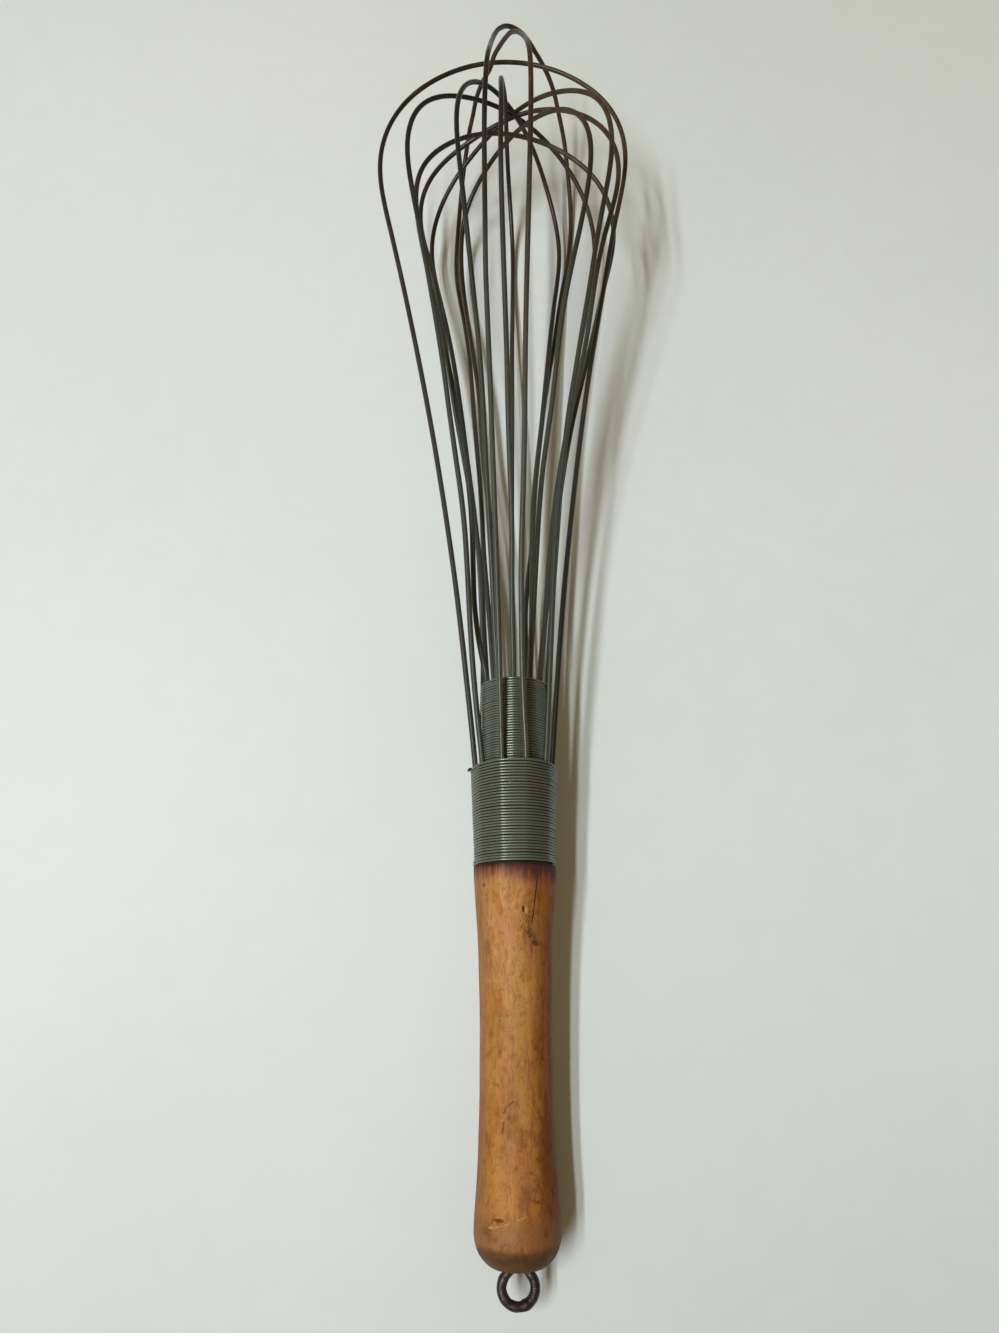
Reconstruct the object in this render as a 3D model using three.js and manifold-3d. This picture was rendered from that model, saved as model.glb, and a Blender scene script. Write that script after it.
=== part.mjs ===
// Balloon whisk: turned wooden handle, wire-bound neck, ten sprung wire loops and a forged hanging eye.
// Millimetres, +Z up. The whisk lies on a level surface at Z = 0 with the eye toward -Y and the cage toward +Y.
import * as THREE from "three";
import { mergeVertices } from "three/addons/utils/BufferGeometryUtils.js";
import Module from "manifold-3d";

const wasm = await Module();
wasm.setup();

// ---- driving dimensions (mm) ----
const WIRE_D = 2.3;              // loop wire diameter
const WIRE_SIDES = 8;            // facets round the wire
const GAP = 0.3;                 // clearance kept between neighbouring pieces

const BUTT_S = -86.4;            // end of the handle, along the whisk's own axis
const SHOULDER_S = 52.1;         // where the wood meets the binding
const TENON_R = 9.5;             // wooden tenon inside the bindings
const TENON_TOP_S = 118.0;
const HANDLE_SIDES = 44;

const EYE_CENTRE_S = -91.6;      // hanging eye
const EYE_R = 5.85;              // centreline radius of the ring
const EYE_WIRE_R = 1.55;
const EYE_SHANK_END_S = -62.0;
const PILOT_END_S = -60.6;

const OUTER_BIND_S0 = 52.45, OUTER_BIND_S1 = 89.9;   // outer binding
const OUTER_BIND_R0 = 15.65, OUTER_BIND_R1 = 17.3;
const OUTER_BIND_WALL = 0.5;
const INNER_BIND_S0 = 84.0, INNER_BIND_S1 = 126.0;   // inner binding
const INNER_BIND_R = 13.3;
const INNER_BIND_WALL = 0.6;
const BIND_SIDES = 40;

const ROLL = -0.056541;              // turn about the whisk's own axis (rad)
const RISE = 0.080351;              // rise of the axis toward the cage when it rests (rad)
const REST = new THREE.Vector3(2.6676, -179.3890, 21.3358); // rest position of the axis origin

// Handle outline: [distance along the axis, radius]
const HANDLE_OUTLINE = [
  [-86.4, 0], [-86.25, 4.6], [-86.0, 7.2], [-85.3, 9.1], [-84.2, 10.75], [-82.8, 12.3], [-81.1, 13.55], [-80.6, 13.95],
  [-79.0, 14.55], [-77.3, 15.08], [-75.8, 15.36], [-74.2, 15.45], [-71.0, 15.34], [-67.0, 15.08], [-60.0, 14.62], [-52.9, 14.16],
  [-44.0, 13.75], [-35.8, 13.46], [-24.7, 13.32], [-11.7, 13.3], [3.8, 13.58], [12.0, 13.76], [19.6, 14.02],
  [28.0, 14.45], [35.9, 14.98], [43.0, 15.5], [48.4, 15.9], [51.2, 15.95], [52.1, 15.7],
];

// Centrelines of the loops in the whisk's own frame: [across, along the axis, up].
// Each starts and ends inside the bindings and bows out to form one hoop of the cage.
const LOOPS = {
  outer_loop_1: [
    [-13.37,53.5,0], [-14.82,84.27,0], [-16.09,99.23,0.04], [-18.65,123.52,0.34], [-21.52,149.69,0.71], [-24.31,172.27,0.9],
    [-27.61,195.88,0.96], [-31.43,220.92,1.01], [-35.42,244.99,1.11], [-39.82,269.38,1.23], [-44.77,295.08,1.45], [-49.85,320.06,1.6],
    [-55.22,345.07,1.62], [-59.29,363.63,1.69], [-61.35,375.29,1.77], [-62.26,384.81,1.83], [-62.21,393.38,1.86], [-61.24,401.44,1.86],
    [-59.39,409.13,1.82], [-56.68,416.43,1.76], [-53.16,423.24,1.67], [-48.84,429.53,1.55], [-43.74,435.27,1.41], [-37.91,440.4,1.24],
    [-31.5,444.83,1.06], [-24.65,448.43,0.87], [-17.51,451.14,0.67], [-10.16,452.92,0.48], [-2.69,453.75,0.29], [4.81,453.64,0.09],
    [12.22,452.57,-0.1], [19.44,450.58,-0.3], [26.39,447.67,-0.49], [32.91,443.92,-0.69], [38.85,439.46,-0.87], [44.01,434.42,-1.04],
    [48.32,428.88,-1.19], [51.76,422.83,-1.33], [54.32,416.26,-1.44], [56.04,409.11,-1.53], [56.9,401.36,-1.58], [56.87,392.9,-1.58],
    [55.86,383.33,-1.52], [53.63,371.12,-1.39], [49.99,353.91,-1.2], [46.57,335.25,-1.03], [43.24,315.92,-0.59], [39.77,296.59,0.25],
    [37.12,281.59,0.48], [34.48,265.56,-0.02], [31.76,247.41,-0.57], [28.92,226.8,-0.65], [25.71,201.38,-0.56], [22.76,175.76,-0.46],
    [20.26,151.31,-0.4], [18.15,127.33,-0.29], [16.11,101.66,-0.07], [14.85,84.89,-0], [13.37,53.5,0],
  ],
  outer_loop_2: [
    [-10.82,53.5,7.86], [-11.88,80.61,8.61], [-12.72,94.22,9.05], [-14.45,110.23,9.67], [-16.12,128.69,10.39], [-17.37,147.46,11.41],
    [-18.59,170.78,12.92], [-19.74,188.41,14.13], [-21.32,203.63,15.26], [-23.84,221.89,16.77], [-26.59,242.18,18.72], [-29.3,262.93,20.97],
    [-32.27,282.42,23.24], [-36.62,308.47,26.41], [-40.38,329.91,29.12], [-43.48,346.22,31.15], [-45.22,357.18,32.2], [-46.02,366.05,32.62],
    [-46.05,373.92,32.53], [-45.36,381.13,31.96], [-44,387.77,30.93], [-41.99,393.85,29.42], [-39.32,399.39,27.44], [-35.97,404.43,24.94],
    [-31.89,409.04,21.89], [-27.05,413.26,18.25], [-21.5,417.05,14.01], [-15.48,420.23,9.36], [-9.47,422.57,4.7], [-3.72,423.94,0.32],
    [1.81,424.33,-3.73], [7.21,423.77,-7.54], [12.56,422.24,-11.2], [17.85,419.75,-14.8], [23.02,416.33,-18.36], [27.86,412.11,-21.79],
    [32.15,407.27,-24.92], [35.8,401.9,-27.66], [38.76,396.04,-29.98], [41.06,389.69,-31.87], [42.69,382.86,-33.32], [43.64,375.6,-34.31],
    [43.9,367.88,-34.79], [43.45,359.5,-34.74], [42.23,349.9,-34.1], [40.06,337.56,-32.65], [36.44,318.26,-29.79], [32.61,297.33,-26.69],
    [29.48,279.31,-24.43], [26.84,262.11,-22.6], [24.61,244.27,-20.93], [22.5,223.64,-19.17], [20.04,195.98,-16.95], [17.33,165.43,-14.53],
    [15.51,142.41,-12.69], [14.08,119.54,-10.88], [12.81,98.77,-9.4], [11.95,83.46,-8.69], [10.82,53.5,-7.86],
  ],
  outer_loop_3: [
    [-4.13,53.5,12.72], [-4.59,85.22,14.13], [-5.02,103.46,15.55], [-5.57,129.54,18.1], [-6.25,156.13,21.11], [-7.01,184.44,24.71],
    [-7.97,213.92,28.59], [-8.86,243.06,32.24], [-9.86,271.11,36.06], [-10.72,296.18,39.56], [-10.98,321.23,43.07], [-11.17,344.38,46.61],
    [-11.21,364.01,50.07], [-10.96,377.81,52.29], [-10.59,387.43,53.19], [-10.22,395.04,52.91], [-9.71,401.83,51.32], [-9.17,408.51,48.22],
    [-8.76,416.12,43.22], [-8.38,424.74,37.09], [-7.76,432.53,32.15], [-6.71,439.98,28.24], [-4.72,447.13,24.92], [-1.29,452.79,21.64],
    [2.66,455.85,17.99], [6.46,457.67,13.7], [9.91,458.33,8.73], [13.36,457.96,2.96], [17.37,456.92,-3.64], [21.29,454.73,-10.7],
    [24.3,451.48,-17.73], [26.44,447.33,-24.34], [28.47,442.38,-30.32], [30.17,436.67,-35.52], [31.27,430.06,-39.92], [32.22,422.55,-43.54],
    [32.94,414.14,-46.36], [33.34,404.97,-48.33], [33.3,395.39,-49.4], [32.7,385.49,-49.52], [31.47,374.89,-48.67], [29.54,362.53,-46.68],
    [26.84,346.55,-43.19], [24.34,328.98,-39.27], [21.96,311.17,-35.81], [18.78,291.68,-32.4], [16.1,272.15,-29.09], [13.42,248.76,-25.28],
    [11.44,229.34,-22.55], [10.08,211.39,-20.59], [8.94,194.33,-19.23], [7.14,178.15,-18.3], [5.86,164.31,-17.7], [5.75,150.57,-17.2],
    [6.31,132.46,-16.56], [6.2,116.84,-15.98], [5.26,100.76,-15.16], [4.59,85,-14.12], [4.13,53.5,-12.72],
  ],
  outer_loop_4: [
    [4.13,53.5,12.72], [4.48,80.07,13.9], [4.51,95.01,14.82], [3.86,111.16,16.53], [3.36,130.35,18.72], [3.26,155.91,21.75],
    [3.51,176.65,24.34], [4.36,200.63,27.6], [5.1,224.74,30.97], [5.55,252.1,34.73], [6.07,275.22,38.18], [6.89,302.28,42.68],
    [7.93,334.68,48.2], [8.65,358.02,52.45], [8.98,373.57,55.22], [9.05,383.47,56.45], [8.97,391.22,56.56], [8.75,398.09,55.51],
    [8.39,404.59,53.19], [7.99,411.4,49.41], [7.65,419.09,44.1], [7.06,426.89,38.52], [5.87,433.85,33.84], [3.85,440.04,29.68],
    [1.04,444.33,25.41], [-1.47,446.45,20.68], [-4.05,447.86,15.33], [-6.9,448.43,9.17], [-9.16,447.72,2], [-13.29,446.84,-5.88],
    [-16.34,444.91,-13.67], [-18.18,441.85,-20.85], [-20.13,438.16,-27.33], [-21.54,433.61,-33.16], [-22.87,428.3,-38.34], [-24,422.18,-42.85],
    [-24.93,415.32,-46.6], [-25.74,407.82,-49.5], [-26.43,399.77,-51.5], [-27.01,391.23,-52.57], [-27.43,382.17,-52.66], [-27.5,372.5,-51.83],
    [-26.91,361.93,-50.18], [-25.31,348.79,-47.51], [-22.49,329.7,-43.43], [-20.39,312.53,-39.96], [-18.91,294.52,-36.48], [-17.53,272.82,-32.58],
    [-15.89,251.5,-29.1], [-14.21,230.27,-25.97], [-13.17,211.33,-23.5], [-12.33,192.42,-21.41], [-10.86,173.18,-19.44], [-9.42,154.03,-17.79],
    [-8.14,134.24,-16.66], [-6.52,114.52,-15.84], [-5.14,98.56,-15], [-4.58,84.12,-14.08], [-4.13,53.5,-12.72],
  ],
  outer_loop_5: [
    [10.82,53.5,7.86], [12,84.48,8.71], [12.97,100.61,9.44], [14.39,125.08,10.75], [16.1,156.72,12.52], [17.5,179.96,13.96],
    [18.98,197.66,15.22], [21.03,215.12,16.71], [23.71,234.4,18.7], [26.63,253.82,21.13], [29.95,273.4,23.97], [33.99,296.1,27.57],
    [37.56,317.81,30.98], [40.74,335.03,33.56], [43.39,348.6,35.29], [44.93,358.99,36.15], [45.57,367.94,36.39], [45.43,376.02,36.11],
    [44.56,383.37,35.31], [43,390.03,34], [40.74,396.06,32.16], [37.76,401.55,29.75], [34.02,406.6,26.67], [29.46,411.36,22.79],
    [24.18,415.87,17.94], [18.48,420.04,12.16], [13.02,423.44,6.09], [8.18,425.68,0.54], [3.75,426.78,-4.34], [-0.65,426.77,-8.74],
    [-5.25,425.61,-12.85], [-10.27,423.25,-16.93], [-15.95,419.62,-21.34], [-21.8,414.99,-25.94], [-26.86,409.98,-30.02], [-30.96,404.72,-33.4],
    [-34.24,399.11,-36.13], [-36.74,393.08,-38.28], [-38.51,386.6,-39.88], [-39.52,379.71,-40.94], [-39.73,372.32,-41.46], [-39.11,364.19,-41.4],
    [-37.58,354.6,-40.7], [-34.96,341.84,-39.09], [-31.6,324.91,-36.43], [-28.44,306.54,-33.44], [-25.71,288.04,-30.72], [-23.11,267.68,-28.08],
    [-20.36,243.81,-25.34], [-17.31,218.23,-22.64], [-15.27,199.14,-20.64], [-14.02,182.17,-19.01], [-13.14,163.08,-17.43], [-12.59,145.13,-15.64],
    [-12.47,127.95,-13.48], [-12.68,109.89,-10.96], [-12.5,96.69,-9.43], [-11.95,83.5,-8.69], [-10.82,53.5,-7.86],
  ],
  inner_loop_1: [
    [0,53.5,11.05], [-0,94.24,11.05], [-0.02,120.14,11.03], [-0.07,131.48,11.53], [-0.32,146.46,12.95], [-0.41,164.19,14.82],
    [-0.28,182.98,17.08], [-0.49,199.82,19.25], [-1.04,217.91,21.81], [-1.51,236.86,24.83], [-1.87,257.99,28.47], [-2.35,276.88,31.98],
    [-2.93,296.18,35.94], [-3.53,318.31,40.82], [-4,339.29,45.53], [-4.15,351.63,47.97], [-4.08,361.18,49.34], [-3.95,369.17,49.87],
    [-3.85,376.2,49.61], [-3.83,382.58,48.58], [-3.84,388.46,46.83], [-3.85,393.91,44.34], [-3.83,398.91,41.11], [-3.72,403.47,37.18],
    [-3.49,407.53,32.61], [-3.1,411.02,27.48], [-2.59,413.85,21.89], [-2.06,415.97,15.86], [-1.63,417.38,9.4], [-1.34,418.06,2.62],
    [-1.14,418.02,-4.12], [-0.95,417.25,-10.48], [-0.72,415.72,-16.38], [-0.43,413.38,-21.89], [-0.09,410.28,-27.04], [0.32,406.47,-31.84],
    [0.76,402,-36.14], [1.2,396.98,-39.84], [1.6,391.45,-42.91], [1.94,385.54,-45.27], [2.17,379.32,-46.89], [2.29,372.79,-47.74],
    [2.27,365.77,-47.79], [2.16,357.82,-47], [1.98,347.81,-45.22], [1.7,332.3,-41.8], [1.33,312.29,-37.51], [1.09,290.86,-33.22],
    [0.89,269.53,-29.2], [0.67,249.98,-25.84], [0.43,229.08,-22.61], [0.2,206.98,-19.49], [0.04,186.61,-16.88], [0.01,167.15,-14.73],
    [0.04,144.59,-12.58], [0.01,129.39,-11.17], [0,117.88,-10.92], [0,90.64,-11.04], [0,53.5,-11.05],
  ],
  inner_loop_2: [
    [-6.5,53.5,8.94], [-6.5,94.15,8.94], [-6.54,120.26,8.93], [-6.84,131.91,9.38], [-7.54,147.73,10.78], [-8.44,168.62,12.91],
    [-9.66,192.65,15.67], [-10.97,218.18,18.74], [-11.97,240.82,21.56], [-13,258.53,23.92], [-14.44,276.01,26.49], [-16.19,294.21,29.51],
    [-18.11,313.21,33.08], [-20.05,332.58,36.93], [-21.49,346.18,39.27], [-22.62,357.11,40.6], [-23.37,366.51,41.14], [-23.69,374.92,40.99],
    [-23.59,382.55,40.23], [-23.05,389.48,38.91], [-22.07,395.74,37.05], [-20.64,401.39,34.66], [-18.78,406.44,31.75], [-16.53,410.87,28.37],
    [-13.99,414.57,24.63], [-11.24,417.43,20.68], [-8.31,419.42,16.57], [-5.11,420.47,12.23], [-1.58,420.54,7.51], [2.32,419.74,2],
    [6.5,418.41,-4.8], [10.1,416.83,-11.7], [12.96,414.85,-17.68], [15.36,412.29,-22.79], [17.5,409.04,-27.24], [19.46,405.1,-31.11],
    [21.29,400.46,-34.42], [22.96,395.19,-37.15], [24.38,389.39,-39.25], [25.44,383.16,-40.69], [26.06,376.56,-41.46], [26.16,369.47,-41.58],
    [25.7,361.51,-41.03], [24.63,351.66,-39.66], [22.77,337.09,-36.99], [20.45,317.14,-33.06], [18.4,297.42,-29.38], [16.37,277.02,-25.92],
    [14.22,256.6,-22.77], [11.97,236.68,-19.98], [10.44,220.81,-17.97], [9.51,205.74,-16.25], [8.96,188.21,-14.44], [8.55,167.28,-12.47],
    [7.89,149.46,-10.88], [6.94,133.19,-9.5], [6.5,121.78,-8.94], [6.5,98.32,-8.94], [6.5,53.5,-8.94],
  ],
  inner_loop_3: [
    [6.5,53.5,8.94], [6.51,95.03,8.94], [6.57,121.28,8.93], [7.06,133.52,9.43], [8.35,152.89,10.49], [9.78,175.8,11.91],
    [11.25,197.31,13.51], [12.76,213.44,14.84], [14.89,229.07,16.3], [17.31,245.22,18.14], [19.15,260.61,20.34], [20.95,276.07,22.97],
    [23.16,290.2,25.69], [26.24,305.62,28.87], [30.56,324.77,32.9], [33.41,338.87,35.78], [34.98,349.14,37.56], [35.69,357.47,38.48],
    [35.73,364.73,38.65], [35.12,371.36,38.08], [33.9,377.56,36.77], [32.09,383.41,34.74], [29.71,388.89,31.97], [26.79,393.93,28.48],
    [23.34,398.49,24.25], [19.41,402.53,19.31], [15.1,405.94,13.77], [10.6,408.56,7.86], [6.14,410.27,1.89], [1.84,411.01,-3.91],
    [-2.28,410.78,-9.44], [-6.26,409.6,-14.67], [-10.11,407.48,-19.56], [-13.77,404.48,-24.08], [-17.07,400.69,-28.18], [-19.84,396.25,-31.79],
    [-21.97,391.2,-34.91], [-23.43,385.53,-37.54], [-24.25,379.2,-39.65], [-24.53,372.2,-41.18], [-24.37,364.58,-42], [-23.85,356.29,-41.97],
    [-23,346.91,-41.03], [-21.67,334.99,-38.93], [-19.46,316.8,-35.05], [-17.29,299.86,-31.67], [-15.47,284.55,-29.16], [-14.25,269.59,-27.02],
    [-13.31,251.04,-24.58], [-12.07,234.17,-22.39], [-9.94,214.07,-19.77], [-7.84,194.61,-17.24], [-6.83,180.17,-15.37], [-6.54,165.72,-13.47],
    [-6.79,148.84,-11.29], [-6.77,134.7,-9.71], [-6.49,123.41,-8.95], [-6.49,100.79,-8.94], [-6.5,53.5,-8.94],
  ],
  inner_loop_4: [
    [-10.51,53.5,3.41], [-10.52,93.55,3.41], [-10.63,119.1,3.41], [-11.06,128.09,3.47], [-12.77,136.62,3.87], [-14.68,147.87,4.76],
    [-15.82,159.01,5.91], [-16.29,172.67,7.41], [-16.71,188.94,9.04], [-17.63,203.48,10.23], [-19.16,217.97,11.16], [-21.52,234.32,11.95],
    [-24.97,254.57,12.75], [-29.11,276.56,13.6], [-33.86,299.85,14.65], [-38.51,322.24,15.83], [-41.28,337.31,16.6], [-42.7,348,16.97],
    [-43.14,356.46,16.99], [-42.72,363.71,16.7], [-41.45,370.21,16.12], [-39.32,376.15,15.34], [-36.31,381.59,14.42], [-32.41,386.54,13.44],
    [-27.67,390.97,12.4], [-22.22,394.76,11.3], [-16.25,397.77,10.12], [-9.91,399.88,8.87], [-3.33,401.07,7.56], [3.41,401.31,6.23],
    [10.22,400.58,4.92], [16.99,398.9,3.66], [23.55,396.31,2.48], [29.65,392.92,1.38], [35.05,388.9,0.37], [39.61,384.31,-0.57],
    [43.33,379.15,-1.45], [46.22,373.41,-2.27], [48.29,367.09,-3.01], [49.52,360.29,-3.63], [49.86,353.02,-4.07], [49.26,345.09,-4.3],
    [47.59,335.73,-4.26], [44.54,322.82,-3.78], [40.67,305.41,-2.92], [36.91,288.62,-2.22], [33.1,272.57,-0.97], [29.17,255.62,0.46],
    [25.93,240.17,1.25], [23.08,224.42,1.67], [20.48,207.66,1.68], [17.98,189.11,1.28], [15.88,172.46,0.55], [14.17,158.53,-0.71],
    [12.45,144.37,-2.47], [11.23,133.41,-3.29], [10.51,123.24,-3.41], [10.51,100.37,-3.41], [10.51,53.5,-3.41],
  ],
  inner_loop_5: [
    [10.51,53.5,3.41], [10.52,97.34,3.41], [10.56,121.64,3.41], [11.39,132.8,3.44], [12.86,146.82,3.15], [14.27,163.33,2.98],
    [15.84,181.26,3.48], [17.8,199.27,3.86], [20.24,216.69,4.08], [22.99,232.64,4.56], [26.32,248.95,5.56], [30.75,268.4,7.1],
    [33.98,284.45,8.48], [36.99,303.38,10.13], [39.89,320.6,11.6], [42.94,334.67,12.74], [46.78,348.89,13.82], [49.51,359.88,14.47],
    [50.8,368.49,14.77], [51,376.21,14.82], [50.19,383.42,14.63], [48.45,390.19,14.17], [45.81,396.44,13.41], [42.28,402.15,12.31],
    [37.86,407.34,10.85], [32.61,411.98,9.02], [26.75,415.9,6.88], [20.61,418.88,4.57], [14.26,420.82,2.14], [7.58,421.68,-0.52],
    [0.35,421.54,-3.69], [-7.38,420.55,-7.52], [-14.72,418.82,-11.29], [-21.29,416.38,-14.36], [-27.17,413.22,-16.75], [-32.35,409.38,-18.64],
    [-36.69,404.94,-20.16], [-40.09,399.93,-21.41], [-42.51,394.35,-22.43], [-43.99,388.18,-23.21], [-44.52,381.36,-23.73], [-44.07,373.73,-23.93],
    [-42.52,364.72,-23.73], [-39.62,352.67,-22.96], [-36.35,338.48,-21.69], [-33.74,323.67,-20.28], [-31.3,305.82,-18.75], [-28.57,283.84,-17.21],
    [-25.57,262.97,-15.87], [-21.47,238.02,-14.33], [-17.77,215.22,-12.85], [-15.39,197.88,-11.52], [-13.8,182.49,-9.98], [-12.74,166.42,-7.92],
    [-11.98,149.02,-5.44], [-11.21,135.45,-4], [-10.52,124.01,-3.42], [-10.51,102.31,-3.42], [-10.51,53.5,-3.41],
  ],
};

const steel = (hex, rough) => new THREE.MeshStandardMaterial({ color: hex, roughness: rough, metalness: 0.85 });

// ---- helpers ----
function toManifold(geometry) {
  const g = geometry.clone();
  g.deleteAttribute("normal");
  g.deleteAttribute("uv");
  const m = mergeVertices(g, 1e-4);
  const src = m.index.array;
  const tri = [];
  for (let i = 0; i < src.length; i += 3) {
    const a = src[i], b = src[i + 1], c = src[i + 2];
    if (a !== b && b !== c && c !== a) tri.push(a, b, c);
  }
  return new wasm.Manifold(new wasm.Mesh({
    numProp: 3,
    vertProperties: new Float32Array(m.attributes.position.array),
    triVerts: new Uint32Array(tri),
  }));
}

function fromManifold(solid) {
  const mesh = solid.getMesh();
  const g = new THREE.BufferGeometry();
  g.setAttribute("position", new THREE.BufferAttribute(new Float32Array(mesh.vertProperties), 3));
  g.setIndex(new THREE.BufferAttribute(new Uint32Array(mesh.triVerts), 1));
  g.computeVertexNormals();
  return g;
}

// A curve sampled at its own knots, so the facets crowd where the wire bends.
class WireCurve extends THREE.CatmullRomCurve3 {
  getPointAt(u, target) { return this.getPoint(u, target); }
  getTangentAt(u, target) { return this.getTangent(u, target); }
}

function wireLoop(points) {
  const curve = new WireCurve(points.map((p) => new THREE.Vector3(...p)), false, "centripetal");
  const r = (WIRE_D / 2) * 1.02;
  const ring = [];
  for (let i = 0; i < WIRE_SIDES; i++) {
    const a = (2 * Math.PI * (i + 0.5)) / WIRE_SIDES;
    ring.push(new THREE.Vector2(r * Math.cos(a), r * Math.sin(a)));
  }
  return new THREE.ExtrudeGeometry(new THREE.Shape(ring), {
    steps: points.length - 1, bevelEnabled: false, extrudePath: curve,
  });
}

function lathe(profile, sides) {
  return new THREE.LatheGeometry(profile.map((p) => new THREE.Vector2(p[0], p[1])), sides);
}

// Ring and shank of the eye, grown by `extra` all round
function eyeSolid(extra, shankEnd) {
  const torus = new THREE.TorusGeometry(EYE_R, EYE_WIRE_R + extra, 10, 30);
  torus.translate(0, EYE_CENTRE_S, 0);
  const top = EYE_CENTRE_S + EYE_R;
  const shank = new THREE.CylinderGeometry(EYE_WIRE_R + extra, EYE_WIRE_R + extra, shankEnd - top, 12);
  shank.translate(0, (shankEnd + top) / 2, 0);
  return toManifold(torus).add(toManifold(shank));
}

function sleeve(s0, s1, r0, r1, wall) {
  return lathe([[r0 - wall, s0], [r0, s0], [r1, s1], [r1 - wall, s1], [r0 - wall, s0]], BIND_SIDES);
}

// ---- pieces ----
const whisk = new THREE.Group();
const pose = new THREE.Matrix4()
  .makeTranslation(REST.x, REST.y, REST.z)
  .multiply(new THREE.Matrix4().makeRotationX(RISE))
  .multiply(new THREE.Matrix4().makeRotationY(-ROLL));

function place(name, geometry, material) {
  const mesh = new THREE.Mesh(geometry, material);
  mesh.name = name;
  mesh.applyMatrix4(pose);
  whisk.add(mesh);
}

// Turned handle with its tenon, hollowed for the eye
const outline = HANDLE_OUTLINE.map(([s, r]) => [r, s]);
outline.push([TENON_R, SHOULDER_S + 0.05], [TENON_R, TENON_TOP_S - 1.2], [TENON_R - 1.2, TENON_TOP_S], [0, TENON_TOP_S]);
const handle = toManifold(lathe(outline, HANDLE_SIDES)).subtract(eyeSolid(GAP, PILOT_END_S));
place("handle", fromManifold(handle), new THREE.MeshStandardMaterial({ color: 0xb07d46, roughness: 0.55, metalness: 0 }));

place("hanging_eye", fromManifold(eyeSolid(0, EYE_SHANK_END_S)), steel(0x322826, 0.6));
place("outer_binding", sleeve(OUTER_BIND_S0, OUTER_BIND_S1, OUTER_BIND_R0, OUTER_BIND_R1, OUTER_BIND_WALL), steel(0x5f5f58, 0.5));
place("inner_binding", sleeve(INNER_BIND_S0, INNER_BIND_S1, INNER_BIND_R, INNER_BIND_R, INNER_BIND_WALL), steel(0x55554f, 0.5));

for (const [name, points] of Object.entries(LOOPS)) {
  place(name, wireLoop(points), steel(name.startsWith("outer") ? 0x3c3830 : 0x44463e, 0.5));
}

export default whisk;
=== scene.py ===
# Balloon whisk lying on a pale table. Metres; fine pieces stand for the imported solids.
import math
import bpy
import numpy as np
from mathutils import Vector, Matrix


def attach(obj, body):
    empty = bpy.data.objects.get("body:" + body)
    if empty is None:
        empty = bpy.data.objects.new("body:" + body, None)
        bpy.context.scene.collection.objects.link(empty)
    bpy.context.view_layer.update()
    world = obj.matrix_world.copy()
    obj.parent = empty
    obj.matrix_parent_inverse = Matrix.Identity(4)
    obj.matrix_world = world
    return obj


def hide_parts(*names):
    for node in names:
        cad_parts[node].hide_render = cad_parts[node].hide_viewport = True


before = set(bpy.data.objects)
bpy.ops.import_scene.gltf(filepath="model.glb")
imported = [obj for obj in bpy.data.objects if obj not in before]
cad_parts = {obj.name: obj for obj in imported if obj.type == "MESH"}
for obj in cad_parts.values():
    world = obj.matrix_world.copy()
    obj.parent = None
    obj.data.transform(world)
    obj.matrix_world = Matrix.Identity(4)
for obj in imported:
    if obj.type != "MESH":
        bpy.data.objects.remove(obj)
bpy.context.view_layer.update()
rng = np.random.default_rng(7)

# ------------------------------------------------------------------ frame of the whisk's own axis
# x across, s along the axis toward the tip of the cage, n up. Millimetres there, metres in the scene.
ROLL, RISE = -0.056541, 0.080351
REST = np.array([2.6676, -179.3890, 21.3358])


def turn(v):
    v = np.atleast_2d(np.asarray(v, float))
    x, s, n = v[:, 0], v[:, 1], v[:, 2]
    x2 = x * math.cos(ROLL) - n * math.sin(ROLL)
    n2 = x * math.sin(ROLL) + n * math.cos(ROLL)
    return np.stack([x2, s * math.cos(RISE) - n2 * math.sin(RISE), s * math.sin(RISE) + n2 * math.cos(RISE)], 1)


def place(v):
    return (turn(v) + REST) / 1000.0


# ------------------------------------------------------------------ camera
CAM_H, CAM_X, CAM_TILT, CAM_ROLL, CAM_F = 410.0, -5.5508, math.radians(18.0), 0.003943, 1050.0
scene = bpy.context.scene
cam_data = bpy.data.cameras.new("camera")
cam = bpy.data.objects.new("camera", cam_data)
scene.collection.objects.link(cam)
scene.camera = cam
right = np.array([1.0, 0, 0])
up = np.array([0, math.cos(CAM_TILT), math.sin(CAM_TILT)])
look = np.array([0, math.sin(CAM_TILT), -math.cos(CAM_TILT)])
r2 = math.cos(CAM_ROLL) * right - math.sin(CAM_ROLL) * up
u2 = math.sin(CAM_ROLL) * right + math.cos(CAM_ROLL) * up
R, U, B = turn(r2)[0], turn(u2)[0], -turn(look)[0]
pos = place([CAM_X, 0, CAM_H])[0]
cam.matrix_world = Matrix(((R[0], U[0], B[0], pos[0]), (R[1], U[1], B[1], pos[1]), (R[2], U[2], B[2], pos[2]), (0, 0, 0, 1)))
cam_data.sensor_width = 36.0
cam_data.lens = CAM_F / 1333.0 * 36.0
cam_data.clip_start = 0.01
cam_data.clip_end = 20.0
scene.view_settings.view_transform = "Standard"


def lin(r, g, b):
    def f(c):
        c = c / 255.0
        return c / 12.92 if c <= 0.04045 else ((c + 0.055) / 1.055) ** 2.4
    return (f(r), f(g), f(b), 1.0)


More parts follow.
